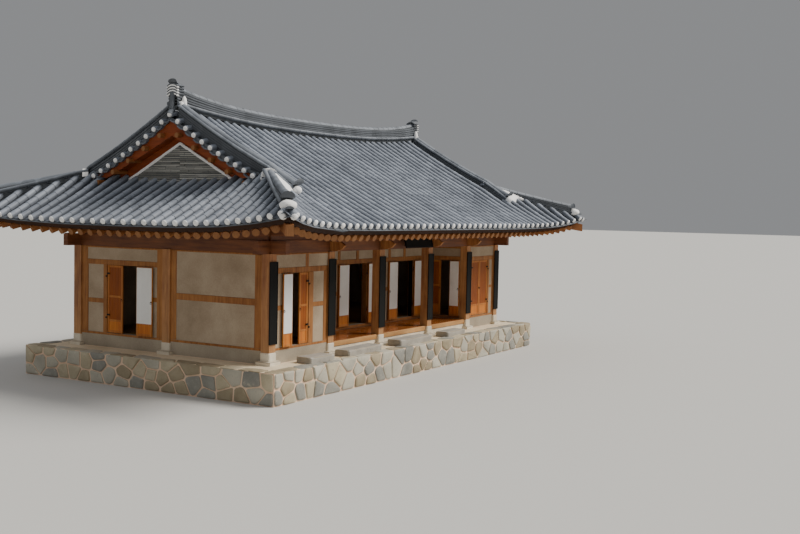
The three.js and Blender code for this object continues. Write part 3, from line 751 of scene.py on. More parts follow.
def descending_ridge(sx, sy, point):
    """The ridge along a gable's edge, its curled end tile and the plaster at both its ends."""
    stops = [(sx * DOWN_X, sy * y, h) for y, h in DOWN_HEIGHTS]
    ridge_wall(bms, stops, 0.19, 0.06, 0.095, 0.13, -0.22)
    end_tile(dark, point(DOWN_X, 3.66, 0.21), (0, sy), 0.125, 0.07, 0.09)
    lump(white, point(DOWN_X, 3.65, 0.10), (0.23, 0.22, 0.20), rnd)
    lump(white, point(5.70, 0.20, 0.20), (0.15, 0.12, 0.42), rnd)
    lump(white, point(5.78, 0.17, 0.15), (0.13, 0.16, 0.20), rnd)

# %% Hips and their corners
HIP_HEIGHTS = (5.83, 0.09), (6.3, 0.13), (6.9, 0.19), (7.84, 0.26)
PATCH = [(5.82, 3.04), (5.82, 3.60), (5.97, 3.68), (6.50, 3.72)]
PATCH_TOP = [(5.84, 3.12), (5.84, 3.56), (5.97, 3.62), (6.34, 3.62)]
FILLET = (0.06, 0.09, 0.10, 0.10, 0.09, 0.08, 0.07, 0.06, 0.04)


def hip(sx, sy, point, reach):
    """A hip, the white hood it starts from, and the plaster that fills its angle to the slope."""
    stops = [(sx * x, sy * (x - HIP), h) for x, h in HIP_HEIGHTS]
    ridge_wall(bms, stops, 0.24, 0.026, 0.085, 0.05, -0.12, (sx * sy,))
    end_tile(dark, point(7.86, 4.96, 0.13), (sx, sy), 0.14, 0.12, 0.03)
    loft(white, [arch(place(point(x, x - HIP, -0.09), (sx, sy, 0)), 0.205) for x in (5.83, 5.93)])
    loft(white, [[point(*q, lift) for q in ring]
                 for ring, lift in ((PATCH, -0.05), (PATCH, 0.07), (PATCH_TOP, 0.11))])
    spots = [point(5.96 + reach * k / 8, 3.20 + reach * k / 8, 0.02) for k in range(9)]
    loft(white, [arch(place(q, (sx, sy, 0)), r, 0, 0, AROUND) for q, r in zip(spots, FILLET)])


def corner(sx, sy, point):
    """The mound of plaster on the corner, with a small curled tile, and the last two covers."""
    lump(white, point(7.93, 5.03, 0.02), (0.37, 0.37, 0.23), rnd)
    end_tile(dark, point(8.04, 5.14, -0.03), (sx, sy), 0.085, 0.05, 0.01)
    for a, b in (((7.94, 4.96), (8.19, 5.10)), ((7.90, 5.05), (8.08, 5.30))):
        inside, out = point(*a, -0.02), point(*b, -0.06)
        rod(rounds, inside, out, 0.07, 12)
        stamp(white, plaster_plug, place(out, Vector(inside) - Vector(out)))

# %% Put the ridges on
for sx in (-1, 1):
    stack(sx)
    for sy in (-1, 1):
        point = lambda x, y, lift: (sx * x, sy * y, roof_at(x, y) + lift)
        descending_ridge(sx, sy, point)
        hip(sx, sy, point, 1.5 if sx < 0 else 0.6)
        corner(sx, sy, point)
piece("ridge_courses", dark, [ridge_finish], smooth=50, instead=["ridges"])
piece("ridge_rounds", rounds, [roll_finish], smooth=50)
piece("ridge_joints", joint, [joint_finish])
piece("ridge_plaster", white, [white_finish], smooth=60)
print("ridge ends stand", round(crown + 0.67, 3), "m high")

# %% [markdown]
# ## Eaves
# Round rafters carry the eaves. They lie side by side along the middle and fan out towards the
# corner rafter, so each runs between a point near the eave and a point inside, both on the
# underside of the roof. Their sawn ends are paler than their sides. A board stands on the
# ends of the rafters and takes the first tiles.

# %% Sheets that follow a slope
def shell(bm, spot, power, rows, cols, upper, lower, flip=(1, 1), mat=0):
    """A closed sheet between two heights over a patch of a slope."""
    made = bmesh.ops.create_grid(bm, x_segments=len(cols) - 1, y_segments=len(rows) - 1, size=1)["verts"]
    pick = lambda t, values: values[round((t + 1) / 2 * (len(values) - 1))]
    grown = bmesh.ops.extrude_face_region(bm, geom=list({f for v in made for f in v.link_faces}))["geom"]
    top = [g for g in grown if isinstance(g, bmesh.types.BMVert)]
    for verts, height in ((top, upper), (made, lower)):
        for v in verts:
            s, u = pick(v.co.y, rows), pick(v.co.x, cols)
            x, y = spot(s, u)
            v.co = (flip[0] * x, flip[1] * y, height(s, u, power))
    for f in {f for v in made + top for f in v.link_faces}:
        f.material_index = mat


ACROSS = [-1 + k / 20 for k in range(41)]

# %% Rafters and eave boards
RAFTER = 0.083


def rafters(bm, spot, power, axis, half_in, half_out, flat, flip):
    def at(s, reach):
        u = reach / abs(spot(s, 1)[axis])
        x, y = spot(s, u)
        return Vector((flip[0] * x, flip[1] * y, low_height(s, u, power) - RAFTER - 0.002))

    count = round(2 * half_out / 0.31)
    for k in range(count + 1):
        out = -half_out + k * 2 * half_out / count
        fan = max(0, abs(out) - flat) / (half_out - flat)
        inner = math.copysign(min(abs(out), flat) + fan * (half_in - flat), out)
        rod(bm, at(0.036, out), at(0.4, inner), RAFTER, 12, 0, 1)
    # The eave board (slot 3) takes the near-black brown, which is painted shade under the tiles.
    shell(bm, spot, power, [0.038, 0.0555], ACROSS, lambda s, u, p: top_height(s, u, p) - 0.108,
          lambda s, u, p: low_height(s, u, p) - 0.012, flip, 3)


def corner_rafter(bm, sx, sy):
    rings = []
    side = Vector((1, -1, 0)).normalized() * 0.085
    for k, x in enumerate((-8.13, -7.5, -6.7, -5.85)):
        y = x + HIP
        z = low_height(1 + y / EY, 1, FRONT_LIFT) - 0.034
        p, deep = Vector((x, y, z)), Vector((0, 0, 0.26 if k else 0.23))
        corners = p + side, p - side, p - side - deep, p + side - deep
        rings.append([Vector((sx * -q.x, sy * -q.y, q.z)) for q in corners])
    loft(bm, rings)
    out = (rings[0][0] - rings[1][0]).normalized() * 0.006
    loft(bm, [[q + out for q in rings[0]], [q - out for q in rings[0]]], 1)


for word, flip in (("front", (1, 1)), ("back", (1, -1)), ("left", (1, 1)), ("right", (-1, 1))):
    bm = bmesh.new()
    if word in ("front", "back"):
        rafters(bm, front_spot, FRONT_LIFT, 0, 5.7, 7.65, 4.6, flip)
    else:
        rafters(bm, end_spot, END_LIFT, 1, 2.65, 4.76, 1.5, flip)
        corner_rafter(bm, -flip[0], -1)
        corner_rafter(bm, -flip[0], 1)
        shell(bm, end_spot, END_LIFT, [0.33, KINK, 0.505], ACROSS, lambda *at: low_height(*at) - 0.0003,
              lambda *at: low_height(*at) - 0.03, flip, 2)
    piece("round_rafters_" + word, bm, [rafter_finish, cut_finish, beam_finish, eave_board_shade_finish], smooth=50,
          instead=["rafters_" + word])

# %% [markdown]
# ## Gables
# Inside the bargeboards each gable is hung with courses of flat dark tile, laid level with thin
# mortar lines, in a white plaster border. Short round battens carry the verge, and a line of
# stub tiles with white plugs closes it, as at the eaves. These stubs lie a step below the slope,
# so the copy of the boards under them has its top trimmed to match.

# %% Gable cladding, battens and verge tiles
GABLE_FOOT, GABLE_TOP, GABLE_HALF = 4.93, 5.88, 1.76
CLAD_X, EDGE_LINE_X, COURSE = 5.585, 5.605, 0.047


def verge_edge(y):
    """Height of the verge tiles' outer ends, a step below the slope until the end slope meets them."""
    return max(roof_at(5.9, y) - 0.20 - 0.06 * min(1, abs(y)), end_at(6.02, y) - 0.02)


def cladding(bm, span, rnd):
    """Level courses of flat tile, each of a few lengths that stand out a little differently."""
    z = GABLE_FOOT
    while z < GABLE_TOP - 0.06:
        half = GABLE_HALF * (GABLE_TOP - z - 0.02) / (GABLE_TOP - GABLE_FOOT)
        y = -half
        while y < half - 0.02:
            end = min(half, y + rnd.uniform(0.22, 0.42))
            out = 5.610 + rnd.uniform(0, 0.016)
            level = z + rnd.uniform(0, 0.006), z + rnd.uniform(0.027, 0.035)
            beam(bm, span(CLAD_X, out), (y, end - 0.006), level, 0)
            y = end
        z += COURSE


def trowelled(bm, a, b, rnd):
    """A strip of plaster from a to b with an uneven edge."""
    count = max(2, round((b - a).length / 0.16))
    rings = []
    for k in range(count + 1):
        m = place(a.lerp(b, k / count), b - a)
        low, high = -0.032 + rnd.uniform(-0.008, 0.006), 0.030 + rnd.uniform(-0.006, 0.006)
        corners = (-0.022, low), (0.022, low), (0.022, high), (-0.022, high)
        rings.append([m @ Vector((x, 0, z)) for x, z in corners])
    loft(bm, rings)


def gable(sx, word):
    tiles, white, wood = bmesh.new(), bmesh.new(), bmesh.new()
    rnd = random.Random(7)
    span = lambda a, b: tuple(sorted((sx * a, sx * b)))
    cladding(tiles, span, rnd)
    outline = (-GABLE_HALF, GABLE_FOOT), (GABLE_HALF, GABLE_FOOT), (0, GABLE_TOP)
    loft(white, [[Vector((sx * x, y, z)) for y, z in outline] for x in (CLAD_X, CLAD_X + 0.013)], 1)
    high = Vector((sx * EDGE_LINE_X, 0, GABLE_TOP + 0.02))
    for sy in (-1, 1):
        low = Vector((sx * EDGE_LINE_X, sy * (GABLE_HALF - 0.03), GABLE_FOOT + 0.06))
        foot = Vector((sx * EDGE_LINE_X, sy * (GABLE_HALF + 0.75), GABLE_FOOT + 0.05))
        trowelled(white, low, high, rnd)
        trowelled(white, foot, low, rnd)
        for k in range(5):
            y = sy * (0.28 + 0.52 * k)
            z = roof_at(5.9, y) - 0.53
            rod(wood, (sx * 5.55, y, z + 0.02), (sx * 6.06, y, z - 0.01), 0.06, 12, 0, 1)
    bm = copied("gable_" + word)
    for v in bm.verts:
        deep = roof_at(5.9, v.co.y) - v.co.z
        if abs(v.co.x) > 5.56 and deep < 0.33:
            v.co.z -= 0.19 if deep < 0.15 else 0.03
    piece("gable_boards_" + word, bm, [board_finish], instead=["gable_" + word])
    piece("gable_tiles_" + word, tiles, [gable_finish])
    piece("gable_plaster_" + word, white, [white_finish, joint_finish])
    piece("gable_battens_" + word, wood, [rafter_finish, cut_finish], smooth=50)


def verge(sx, word):
    covers, troughs, plugs = bmesh.new(), bmesh.new(), bmesh.new()
    down = line((5.95, 0), (5.95, 3.08), 0.295)
    for sy in (-1, 1):
        for p in down if sy < 0 else down[1:]:
            tip = Vector((sx * 6.0, sy * p.y, verge_edge(p.y)))
            back = Vector((sx * 5.72, sy * p.y, tip.z + 0.05))
            lay(covers, cover, [tip, back], 0.0, 0.92)
            stamp(plugs, plaster_plug, place(tip, back - tip, scale=(0.85, 1.0, 0.85)))
        for p, q in zip(down, down[1:]):
            y = (p.y + q.y) / 2
            at = Vector((sx * 6.01, sy * y, verge_edge(y) + 0.02))
            stamp(troughs, trough, place(at, (-sx, 0, 0.17), scale=(0.84, 0.29, 1.6)))
    names = ["verge_tiles_" + word, "verge_troughs_" + word, "verge_plugs_" + word]
    tile_pieces((covers, troughs, plugs), names, tile_finish)


for sx, word in ((-1, "left"), (1, "right")):
    gable(sx, word)
    verge(sx, word)

# %% [markdown]
# ## Walls
# Each wall is drawn as if it looked to -Y, with x along it and y into it, and carried to its
# side of the house. Plaster panels are framed by posts and rails that stand a little proud.

# %% Wall measures and helper
SILL, HEAD = 1.115, 2.845
COLUMNS = [-5.95, -3.556, -1.161, 1.521, 3.984, 5.95]
FRONT, BACK, PORCH = -3.05, 3.05, -1.769
LEFT_AT, FRONT_AT, RETURN_AT = -6.02, -3.12, 3.914
HINGE, LEVELS = 0.022, (0.43, 1.48)
TURNS = {"front": 0, "left": -90, "right": 90, "back": 180}


def on_wall(face, at):
    shift = (0, at, 0) if face in ("front", "back") else (at, 0, 0)
    return Matrix.Translation(shift) @ Matrix.Rotation(math.radians(TURNS[face]), 4, "Z")


def trims(bm, wall, posts, rails, proud=0.014, mat=0, depth=0.0):
    """Posts (x0, x1, z0, z1) and rails alike, standing proud of a wall's face, or of both faces."""
    for group, extra, edge in ((posts, 0.004, 0.008), (rails, 0, 0.006)):
        through = (-proud - extra, depth + proud + extra if depth else 0.02)
        for x0, x1, z0, z1 in group:
            beam(bm, (x0, x1), through, (z0, z1), edge, mat, wall)


def pins(bm, wall, x, first, mat):
    for level in LEVELS:
        z = SILL + level
        rod(bm, wall @ Vector((x, -HINGE, z - 0.06)), wall @ Vector((x, -HINGE, z - 0.0003)), 0.011, 10, mat)
        side = -0.04 if first else 0.04
        beam(bm, tuple(sorted((x, x + side))), (-HINGE - 0.004, 0.002), (z - 0.06, z - 0.02), 0, mat, wall)


def pier(node, face, at, x0, x1, posts, rails, hinged):
    """A pier of wall beside doorways: plaster, framing on both faces, and hinge pins."""
    bm, wall, top = bmesh.new(), on_wall(face, at), HEAD - 0.0003
    beam(bm, (x0, x1), (0, 0.14), (SILL, top), 0, 0, wall)
    trims(bm, wall, [(a, b, SILL, top) for a, b in posts], [(x0, x1, a, b) for a, b in rails], 0.012, 1, 0.14)
    for x, first in hinged:
        pins(bm, wall, x, first, 2)
    piece(node + "_dressed", bm, [plaster_finish, post_finish, iron_finish], instead=[node])

# %% Piers beside the doors
MID_RAIL = [(1.99, 2.10)]
pier("left_pier_1", "left", LEFT_AT, -0.96, -0.1203, [(-0.96, -0.82), (-0.32, -0.1203)], MID_RAIL,
     [(-0.96, False)])
pier("left_pier_2", "left", LEFT_AT, -2.9297, -2.03, [(-2.16, -2.03), (-2.93, -2.70)], [(1.863, 1.977)],
     [(-2.03, True)])
pier("room_pier_1", "front", FRONT_AT, -5.8297, -5.216, [(-5.33, -5.216)], MID_RAIL, [(-5.216, True)])
pier("room_pier_2", "front", FRONT_AT, -4.483, -3.6763, [(-4.483, -4.29), (-3.84, -3.6763)], MID_RAIL,
     [(-4.483, False)])
pier("end_pier_1", "front", FRONT_AT, 4.1043, 4.249, [(4.1043, 4.249)], [], [(4.249, True)])
pier("end_pier_2", "front", FRONT_AT, 5.416, 5.8297, [(5.416, 5.52), (5.73, 5.8297)], [(1.95, 2.03)],
     [(5.416, False)])
pier("porch_pier_1", "front", PORCH, -3.4857, -2.9, [(-3.02, -2.9), (-3.4857, -3.40)], MID_RAIL,
     [(-2.9, True)])
pier("porch_pier_2", "front", PORCH, -1.9, -0.732, [(-1.9, -1.78), (-1.24, -1.08), (-0.85, -0.732)], MID_RAIL,
     [(-1.9, False), (-0.732, True)])
pier("porch_pier_3", "front", PORCH, 0.268, 1.925, [(0.268, 0.39), (1.44, 1.60), (1.81, 1.925)], MID_RAIL,
     [(0.268, False), (1.925, True)])
pier("porch_pier_4", "front", PORCH, 2.925, 3.9137, [(2.925, 3.045), (3.80, 3.9137)], MID_RAIL,
     [(2.925, False)])
pier("return_pier_1", "left", RETURN_AT, 2.57, 2.9297, [(2.57, 2.69)], MID_RAIL, [(2.57, False)])
pier("return_pier_2", "left", RETURN_AT, 1.629, 1.88, [(1.76, 1.88)], MID_RAIL, [(1.88, True)])

# %% Framing over the doors of the front and left walls
bm = bmesh.new()
front, left, back, right = (on_wall(face, at) for face, at in (("front", FRONT_AT), ("left", LEFT_AT),
                                                               ("back", -FRONT_AT), ("right", -LEFT_AT)))
FRONT_ROOMS = (-5.83, -3.676), (4.104, 5.83)
for x0, x1 in FRONT_ROOMS:
    trims(bm, front, [],
          [(x0, x1, HEAD, HEAD + 0.13), (x0, x1, SILL - 0.06, SILL), (x0, x1, BEAM - 0.035, BEAM)])
trims(bm, front, [(-4.62, -4.5, HEAD + 0.13, BEAM)], [])
trims(bm, left, [(-0.33, -0.12, SILL, BEAM), (-2.93, -2.72, SILL, BEAM)],
      [(-2.93, -0.12, HEAD, HEAD + 0.13), (-2.93, -0.12, SILL - 0.06, SILL), (0.30, 2.70, 2.10, 2.256),
       (0.12, 2.93, SILL - 0.06, SILL), (-2.93, 2.93, BEAM - 0.04, BEAM)])
trims(bm, left, [(2.70, 2.93, SILL, BEAM), (0.12, 0.30, SILL, BEAM)], [], 0.010)

# %% Framing on the closed walls
WINDOW = (1.80, 2.76)
CLOSED_RAILS = (SILL - 0.06, SILL + 0.02), (BEAM - 0.09, BEAM), (2.68, 2.80), (1.78, 1.88)
for i in range(5):
    x0, x1 = -COLUMNS[i + 1] + 0.12, -COLUMNS[i] - 0.12
    m = (x0 + x1) / 2
    posts = [(m - 0.05, m + 0.05, SILL, BEAM)]
    if 1 <= i <= 3:
        posts = [(m - 0.68, m - 0.56, *WINDOW), (m + 0.56, m + 0.68, *WINDOW)]
    trims(bm, back, posts, [(x0, x1, *level) for level in CLOSED_RAILS])
    trims(bm, back, [(x0, x0 + 0.07, SILL, BEAM), (x1 - 0.07, x1, SILL, BEAM)], [], 0.010)
for x0, x1 in ((-2.93, -0.12), (0.12, 2.93)):
    trims(bm, right, [(x0, x0 + 0.07, SILL, BEAM), (x1 - 0.07, x1, SILL, BEAM)],
          [(x0, x1, *level) for level in CLOSED_RAILS])
trims(bm, right, [(0.88, 1.0, *WINDOW), (2.10, 2.22, *WINDOW)], [])

# %% Framing inside the porch
FAR_RETURN_AT = 3.486
PORCH_POSTS = -2.4, -1.161, -0.23, 0.9, 1.521, 2.4
PORCH_RAILS = (HEAD, HEAD + 0.13), (3.22, 3.40), (SILL - 0.07, SILL)
FAR_RAILS = (1.95, 2.07), (HEAD, HEAD + 0.13), (SILL - 0.07, SILL + 0.02)
trims(bm, on_wall("front", PORCH), [(x - 0.06, x + 0.06, HEAD + 0.12, 4.3) for x in PORCH_POSTS],
      [(-FAR_RETURN_AT, RETURN_AT, *level) for level in PORCH_RAILS], 0.016)
trims(bm, on_wall("left", RETURN_AT), [], [(1.77, 2.93, *level) for level in PORCH_RAILS], 0.016)
trims(bm, on_wall("right", -FAR_RETURN_AT), [(-2.93, -2.80, SILL, 3.3), (-1.90, -1.77, SILL, 3.3)],
      [(-2.93, -1.77, *level) for level in FAR_RAILS], 0.016)
piece("wall_framing", bm, [post_finish])

# %% Timber over the columns that the closed walls swallow
bm = bmesh.new()
for x in COLUMNS:
    beam(bm, (x - 0.125, x + 0.125), (2.92, 3.178), (1.0, BEAM + 0.01), 0.008)
for y in (FRONT, 0, BACK):
    beam(bm, (5.82, 6.078), (y - 0.125, y + 0.125), (1.0, BEAM + 0.01), 0.008)
piece("closed_wall_columns", bm, [frame_finish])

# %% Plaster over the doors of the outer walls
bm = bmesh.new()
for wall, room in ((front, FRONT_ROOMS[0]), (front, FRONT_ROOMS[1]), (left, (-2.93, -0.12))):
    beam(bm, room, (-0.004, 0.02), (HEAD + 0.10, BEAM - 0.02), 0.002, 0, wall)
piece("plaster_over_doors", bm, [plaster_finish])

# %% [markdown]
# ## Windows
# The windows of the back and the right wall are fixed lattices over paper, in a frame that
# fills the opening. Thin bars are half-lapped on the real thing; here they just cross.

# %% Lattice and windows
def lattice(bm, wall, x0, x1, z0, z1):
    """Evenly spaced upright bars, and level bars in three bands."""
    count = max(2, round((x1 - x0) / 0.075))
    for k in range(1, count):
        x = x0 + (x1 - x0) * k / count
        beam(bm, (x - 0.006, x + 0.006), (0.03, 0.06), (z0, z1), 0, 0, wall)
    for centre, bars in ((0.09, 4), (0.5, 5), (0.91, 4)):
        for k in range(bars):
            z = z0 + (z1 - z0) * centre + (k - (bars - 1) / 2) * 0.055
            beam(bm, (x0, x1), (0.032, 0.058), (z - 0.005, z + 0.005), 0, 0, wall)


def window(bm, wall, x0, x1, z0, z1):
    mid = (x0 + x1) / 2
    for wide in ((x0, x0 + 0.05), (x1 - 0.05, x1), (mid - 0.03, mid + 0.03)):
        beam(bm, wide, (0.02, 0.08), (z0, z1), 0.005, 0, wall)
    for level in ((z0, z0 + 0.05), (z1 - 0.05, z1)):
        beam(bm, (x0, x1), (0.022, 0.078), level, 0.005, 0, wall)
    lattice(bm, wall, x0 + 0.05, mid - 0.03, z0 + 0.05, z1 - 0.05)
    lattice(bm, wall, mid + 0.03, x1 - 0.05, z0 + 0.05, z1 - 0.05)
    beam(bm, (x0 + 0.02, x1 - 0.02), (0.061, 0.065), (z0 + 0.02, z1 - 0.02), 0, 1, wall)


bm = bmesh.new()
for i in (1, 2, 3):
    m = -(COLUMNS[i] + COLUMNS[i + 1]) / 2
    window(bm, back, m - 0.56, m + 0.56, 1.88, 2.68)
window(bm, right, 1.0, 2.1, 1.88, 2.68)
piece("windows", bm, [door_finish, paper_finish])

# %% [markdown]
# ## Doors
# A door leaf is a mortised frame filled with upright boards, with a panel at the foot. All but the
# plain pair at the right end have a rail at mid height and white paper pasted over the boards on
# the room side, which shows where a leaf stands open at 180 degrees. Each leaf is drawn closed,
# turned about its hinge pins as the frame's leaf is, and rides on its own body, so it swings with it.

# %% Door leaves
DOORS = [
    ("left_door", "left", LEFT_AT, -2.03, -0.96, (0, 180), True),
    ("room_door", "front", FRONT_AT, -5.216, -4.483, (180, 0), True),
    ("porch_door_1", "front", PORCH, -2.9, -1.9, (0, 180), True),
    ("porch_door_2", "front", PORCH, -0.732, 0.268, (180, 180), True),
    ("porch_door_3", "front", PORCH, 1.925, 2.925, (180, 180), True),
    ("return_door", "left", RETURN_AT, 1.88, 2.57, (0, 180), True),
    ("end_door", "front", FRONT_AT, 4.249, 5.416, (0, 0), False),
]


def ring_pull(bm, at, out, turn, mat):
    """An iron ring on a round plate, out from the leaf's face."""
    x, z = at
    first = bmesh.ops.create_circle(bm, segments=6, radius=0.0035,
                                    matrix=Matrix.Translation((0.026, 0, 0)) @ LIE)["verts"]
    bmesh.ops.spin(bm, geom=first + list({e for v in first for e in v.link_edges}), axis=(0, 0, 1),
                   cent=(0, 0, 0), angle=math.radians(360), steps=14, use_merge=True)
    verts = [v for v in bm.verts if v.is_valid and v.co.xy.length < 0.031 and abs(v.co.z) < 0.005]
    bmesh.ops.transform(bm, matrix=turn @ Matrix.Translation((x, out, z - 0.02)) @ LIE, verts=verts)
    for f in {f for v in verts for f in v.link_faces}:
        f.material_index = mat
    side = 0.004 if out > 0 else -0.004
    rod(bm, turn @ Vector((x, out - 2 * side, z)), turn @ Vector((x, out - side, z)), 0.018, 10, mat)


def leaf(name, face, at, a, b, rest, papered, first):
    node = f"{name}_{'a' if first else 'b'}"
    mid, axis = (a + b) / 2, a if first else b
    x0, x1 = (a + 0.007, mid - 0.004) if first else (mid + 0.004, b - 0.007)
    z0, z1, low = SILL + 0.007, HEAD - 0.007, SILL + 0.30
    angle = math.radians(rest[0 if first else 1] * (-1 if first else 1))
    turn = on_wall(face, at) @ Matrix.Translation((axis, -HINGE, 0)) @ Matrix.Rotation(angle, 4, "Z") \
        @ Matrix.Translation((-axis, HINGE, 0))
    bm = bmesh.new()
    stile = 0.06
    for wide in ((x0, x0 + stile), (x1 - stile, x1)):
        beam(bm, wide, (0, 0.036), (z0, z1), 0.004, 0, turn)
    rails = [(z0, z0 + 0.06), (low, low + 0.05), (z1 - 0.055, z1)]
    if papered:
        rails.append((2.02, 2.075))
    for level in rails:
        beam(bm, (x0 + stile, x1 - stile), (0.001, 0.035), level, 0.004, 0, turn)
    beam(bm, (x0 + stile, x1 - stile), (0.010, 0.026), (z0 + 0.05, low), 0.0, 4, turn)
    boards = max(2, round((x1 - x0 - 2 * stile) / 0.115))
    width = (x1 - x0 - 2 * stile) / boards
    for k in range(boards):
        span = (x0 + stile + k * width, x0 + stile + (k + 1) * width)
        beam(bm, span, (0.009, 0.027), (low, z1 - 0.05), 0.003, 1, turn)
    if papered:
        beam(bm, (x0 + 0.016, x1 - 0.016), (0.0335, 0.0375), (low + 0.02, z1 - 0.016), 0, 2, turn)
    for level in LEVELS:
        z = SILL + level
        rod(bm, turn @ Vector((axis, -HINGE, z)), turn @ Vector((axis, -HINGE, z + 0.06)), 0.011, 10, 3)
        strap = (axis + 0.006, axis + 0.09) if first else (axis - 0.09, axis - 0.006)
        beam(bm, strap, (-HINGE - 0.003, 0.002), (z + 0.01, z + 0.05), 0.001, 3, turn)
    grip = (x1 - 0.03 if first else x0 + 0.03, 1.98)
    ring_pull(bm, grip, -0.009, turn, 3)
    ring_pull(bm, grip, 0.046, turn, 3)
    piece(node + "_leaf_wood", bm, [door_finish, panel_finish, paper_finish, iron_finish, foot_finish],
          node + "_leaf", 40, [node])


for door in DOORS:
    leaf(*door, True)
    leaf(*door, False)

# %% [markdown]
# ## Porch
# The porch floor is planks let in between cross timbers, polished by use until it mirrors the
# doors, with a deep edge board along the front between the columns.

# %% Porch floor
DECK, PORCH_DECK_FRONT, PLANK = 1.037, -2.922, 0.192
bm = bmesh.new()
for i in range(1, 4):
    x0, x1 = COLUMNS[i] + 0.1215, COLUMNS[i + 1] - 0.1215
    beam(bm, (x0, x1), (-3.125, -3.06), (0.915, DECK), 0.008, 2)
    beam(bm, (x0, x1), (-3.058, -2.925), (0.995, DECK), 0.004)
    beam(bm, (x0, x1), (-3.10, -3.0), (0.741, 0.914), 0.02, 1)
cross = [-3.475, -2.72, -1.94, -1.161, -0.27, 0.62, 1.521, 2.34, 3.16, 3.903]
for a, b in zip(cross, cross[1:]):
    beam(bm, (a, a + 0.11), (PORCH_DECK_FRONT, -1.7693), (0.99, DECK), 0.004)
    for k in range(6):
        y0 = PORCH_DECK_FRONT + k * PLANK
        beam(bm, (a + 0.112, b - 0.002), (y0, y0 + PLANK - 0.002), (1.002, DECK - 0.001), 0.003)
piece("porch_boards", bm, [deck_finish, plinth_finish, edge_finish], instead=["porch_floor"])

# %% [markdown]
# ## Frame details
# Round purlins lie over the squared beams, a curved bracket nose stands out over each front
# column, and dark bare boards hang on the columns and under the eave.

# %% Purlins and brackets
PURLIN, PURLIN_Z = 0.1665, 4.08
bm = bmesh.new()
for y in (FRONT, BACK):
    rod(bm, (-6.475, y, PURLIN_Z), (6.475, y, PURLIN_Z), PURLIN, 20, 0, 1)
for x in (COLUMNS[0], COLUMNS[-1]):
    rod(bm, (x, -3.575, PURLIN_Z), (x, 3.575, PURLIN_Z), PURLIN, 20, 0, 1)
nose = [(-0.02, 0.0), (0.20, 0.0), (0.36, 0.05), (0.45, 0.15), (0.40, 0.17), (0.30, 0.235), (-0.02, 0.235)]
for sy in (-1, 1):
    for x in COLUMNS:
        ring = lambda off: [Vector((x + off, sy * (3.12 + a), 3.33 + b)) for a, b in nose]
        loft(bm, [ring(-0.045), ring(0.045)], 2)
piece("purlins_and_brackets", bm, [beam_finish, cut_finish, post_finish], smooth=40)

# %% Column boards and the board under the eave
BOARD_FOOT, BOARD_HEAD, BORDER = 1.22, 3.13, (-3.201, -3.19)
bm = bmesh.new()
for x in COLUMNS:
    beam(bm, (x - 0.15, x + 0.15), (-3.195, -3.1705), (BOARD_FOOT, BOARD_HEAD), 0.004)
    for wide in ((x - 0.15, x - 0.13), (x + 0.13, x + 0.15)):
        beam(bm, wide, BORDER, (BOARD_FOOT, BOARD_HEAD), 0.002)
    for level in ((BOARD_FOOT, BOARD_FOOT + 0.022), (BOARD_HEAD - 0.022, BOARD_HEAD)):
        beam(bm, (x - 0.13, x + 0.13), BORDER, level, 0.002)
tilt = Matrix.Translation((0.56, -3.30, 3.50)) @ Matrix.Rotation(math.radians(-16), 4, "X")
beam(bm, (-0.72, 0.72), (-0.015, 0.015), (-0.15, 0.15), 0.004, 0, tilt)
for level in ((-0.17, -0.13), (0.13, 0.17)):
    beam(bm, (-0.75, 0.75), (-0.028, 0.02), level, 0.006, 0, tilt)
for wide in ((-0.76, -0.72), (0.72, 0.76)):
    beam(bm, wide, (-0.028, 0.02), (-0.17, 0.17), 0.006, 0, tilt)
for x in (-0.5, 0.5):
    rod(bm, (0.56 + x, -3.30, 3.62), (0.56 + x, -3.12, 3.72), 0.012, 8)
    rod(bm, (0.56 + x, -3.27, 3.40), (0.56 + x, -3.12, 3.40), 0.012, 8)
piece("bare_boards", bm, [lacquer_finish])

# %% [markdown]
# ## Podium
# The podium is faced with random rubble bedded in pale mortar. Seeds are thrown on the face, no
# two too near, and each stone is a sheet cut back by planes half-way to the seeds around it, so
# the stones fit each other with an even joint. The outline is then rounded and the face domed.
# Broad flat stones of the same make line the podium's top edge.

# %% Rubble maker
JOINT = 0.027


def scatter(rnd, width, height, apart):
    """Seeds in a strip, at least apart from each other, until no more fit."""
    seeds, misses = [], 0
    while misses < 400:
        p = Vector((rnd.uniform(0.04, width - 0.04), rnd.uniform(0.05, height - 0.05)))
        if all((p - q).length > apart * (0.82 + 0.36 * ((7 * q.x) % 1)) for q in seeds):
            seeds.append(p)
            misses = 0
        misses += 1
    return seeds


def shrink(bm, verts, middle, factor):
    bmesh.ops.scale(bm, vec=(factor, factor, 1), space=Matrix.Translation(-middle), verts=verts)


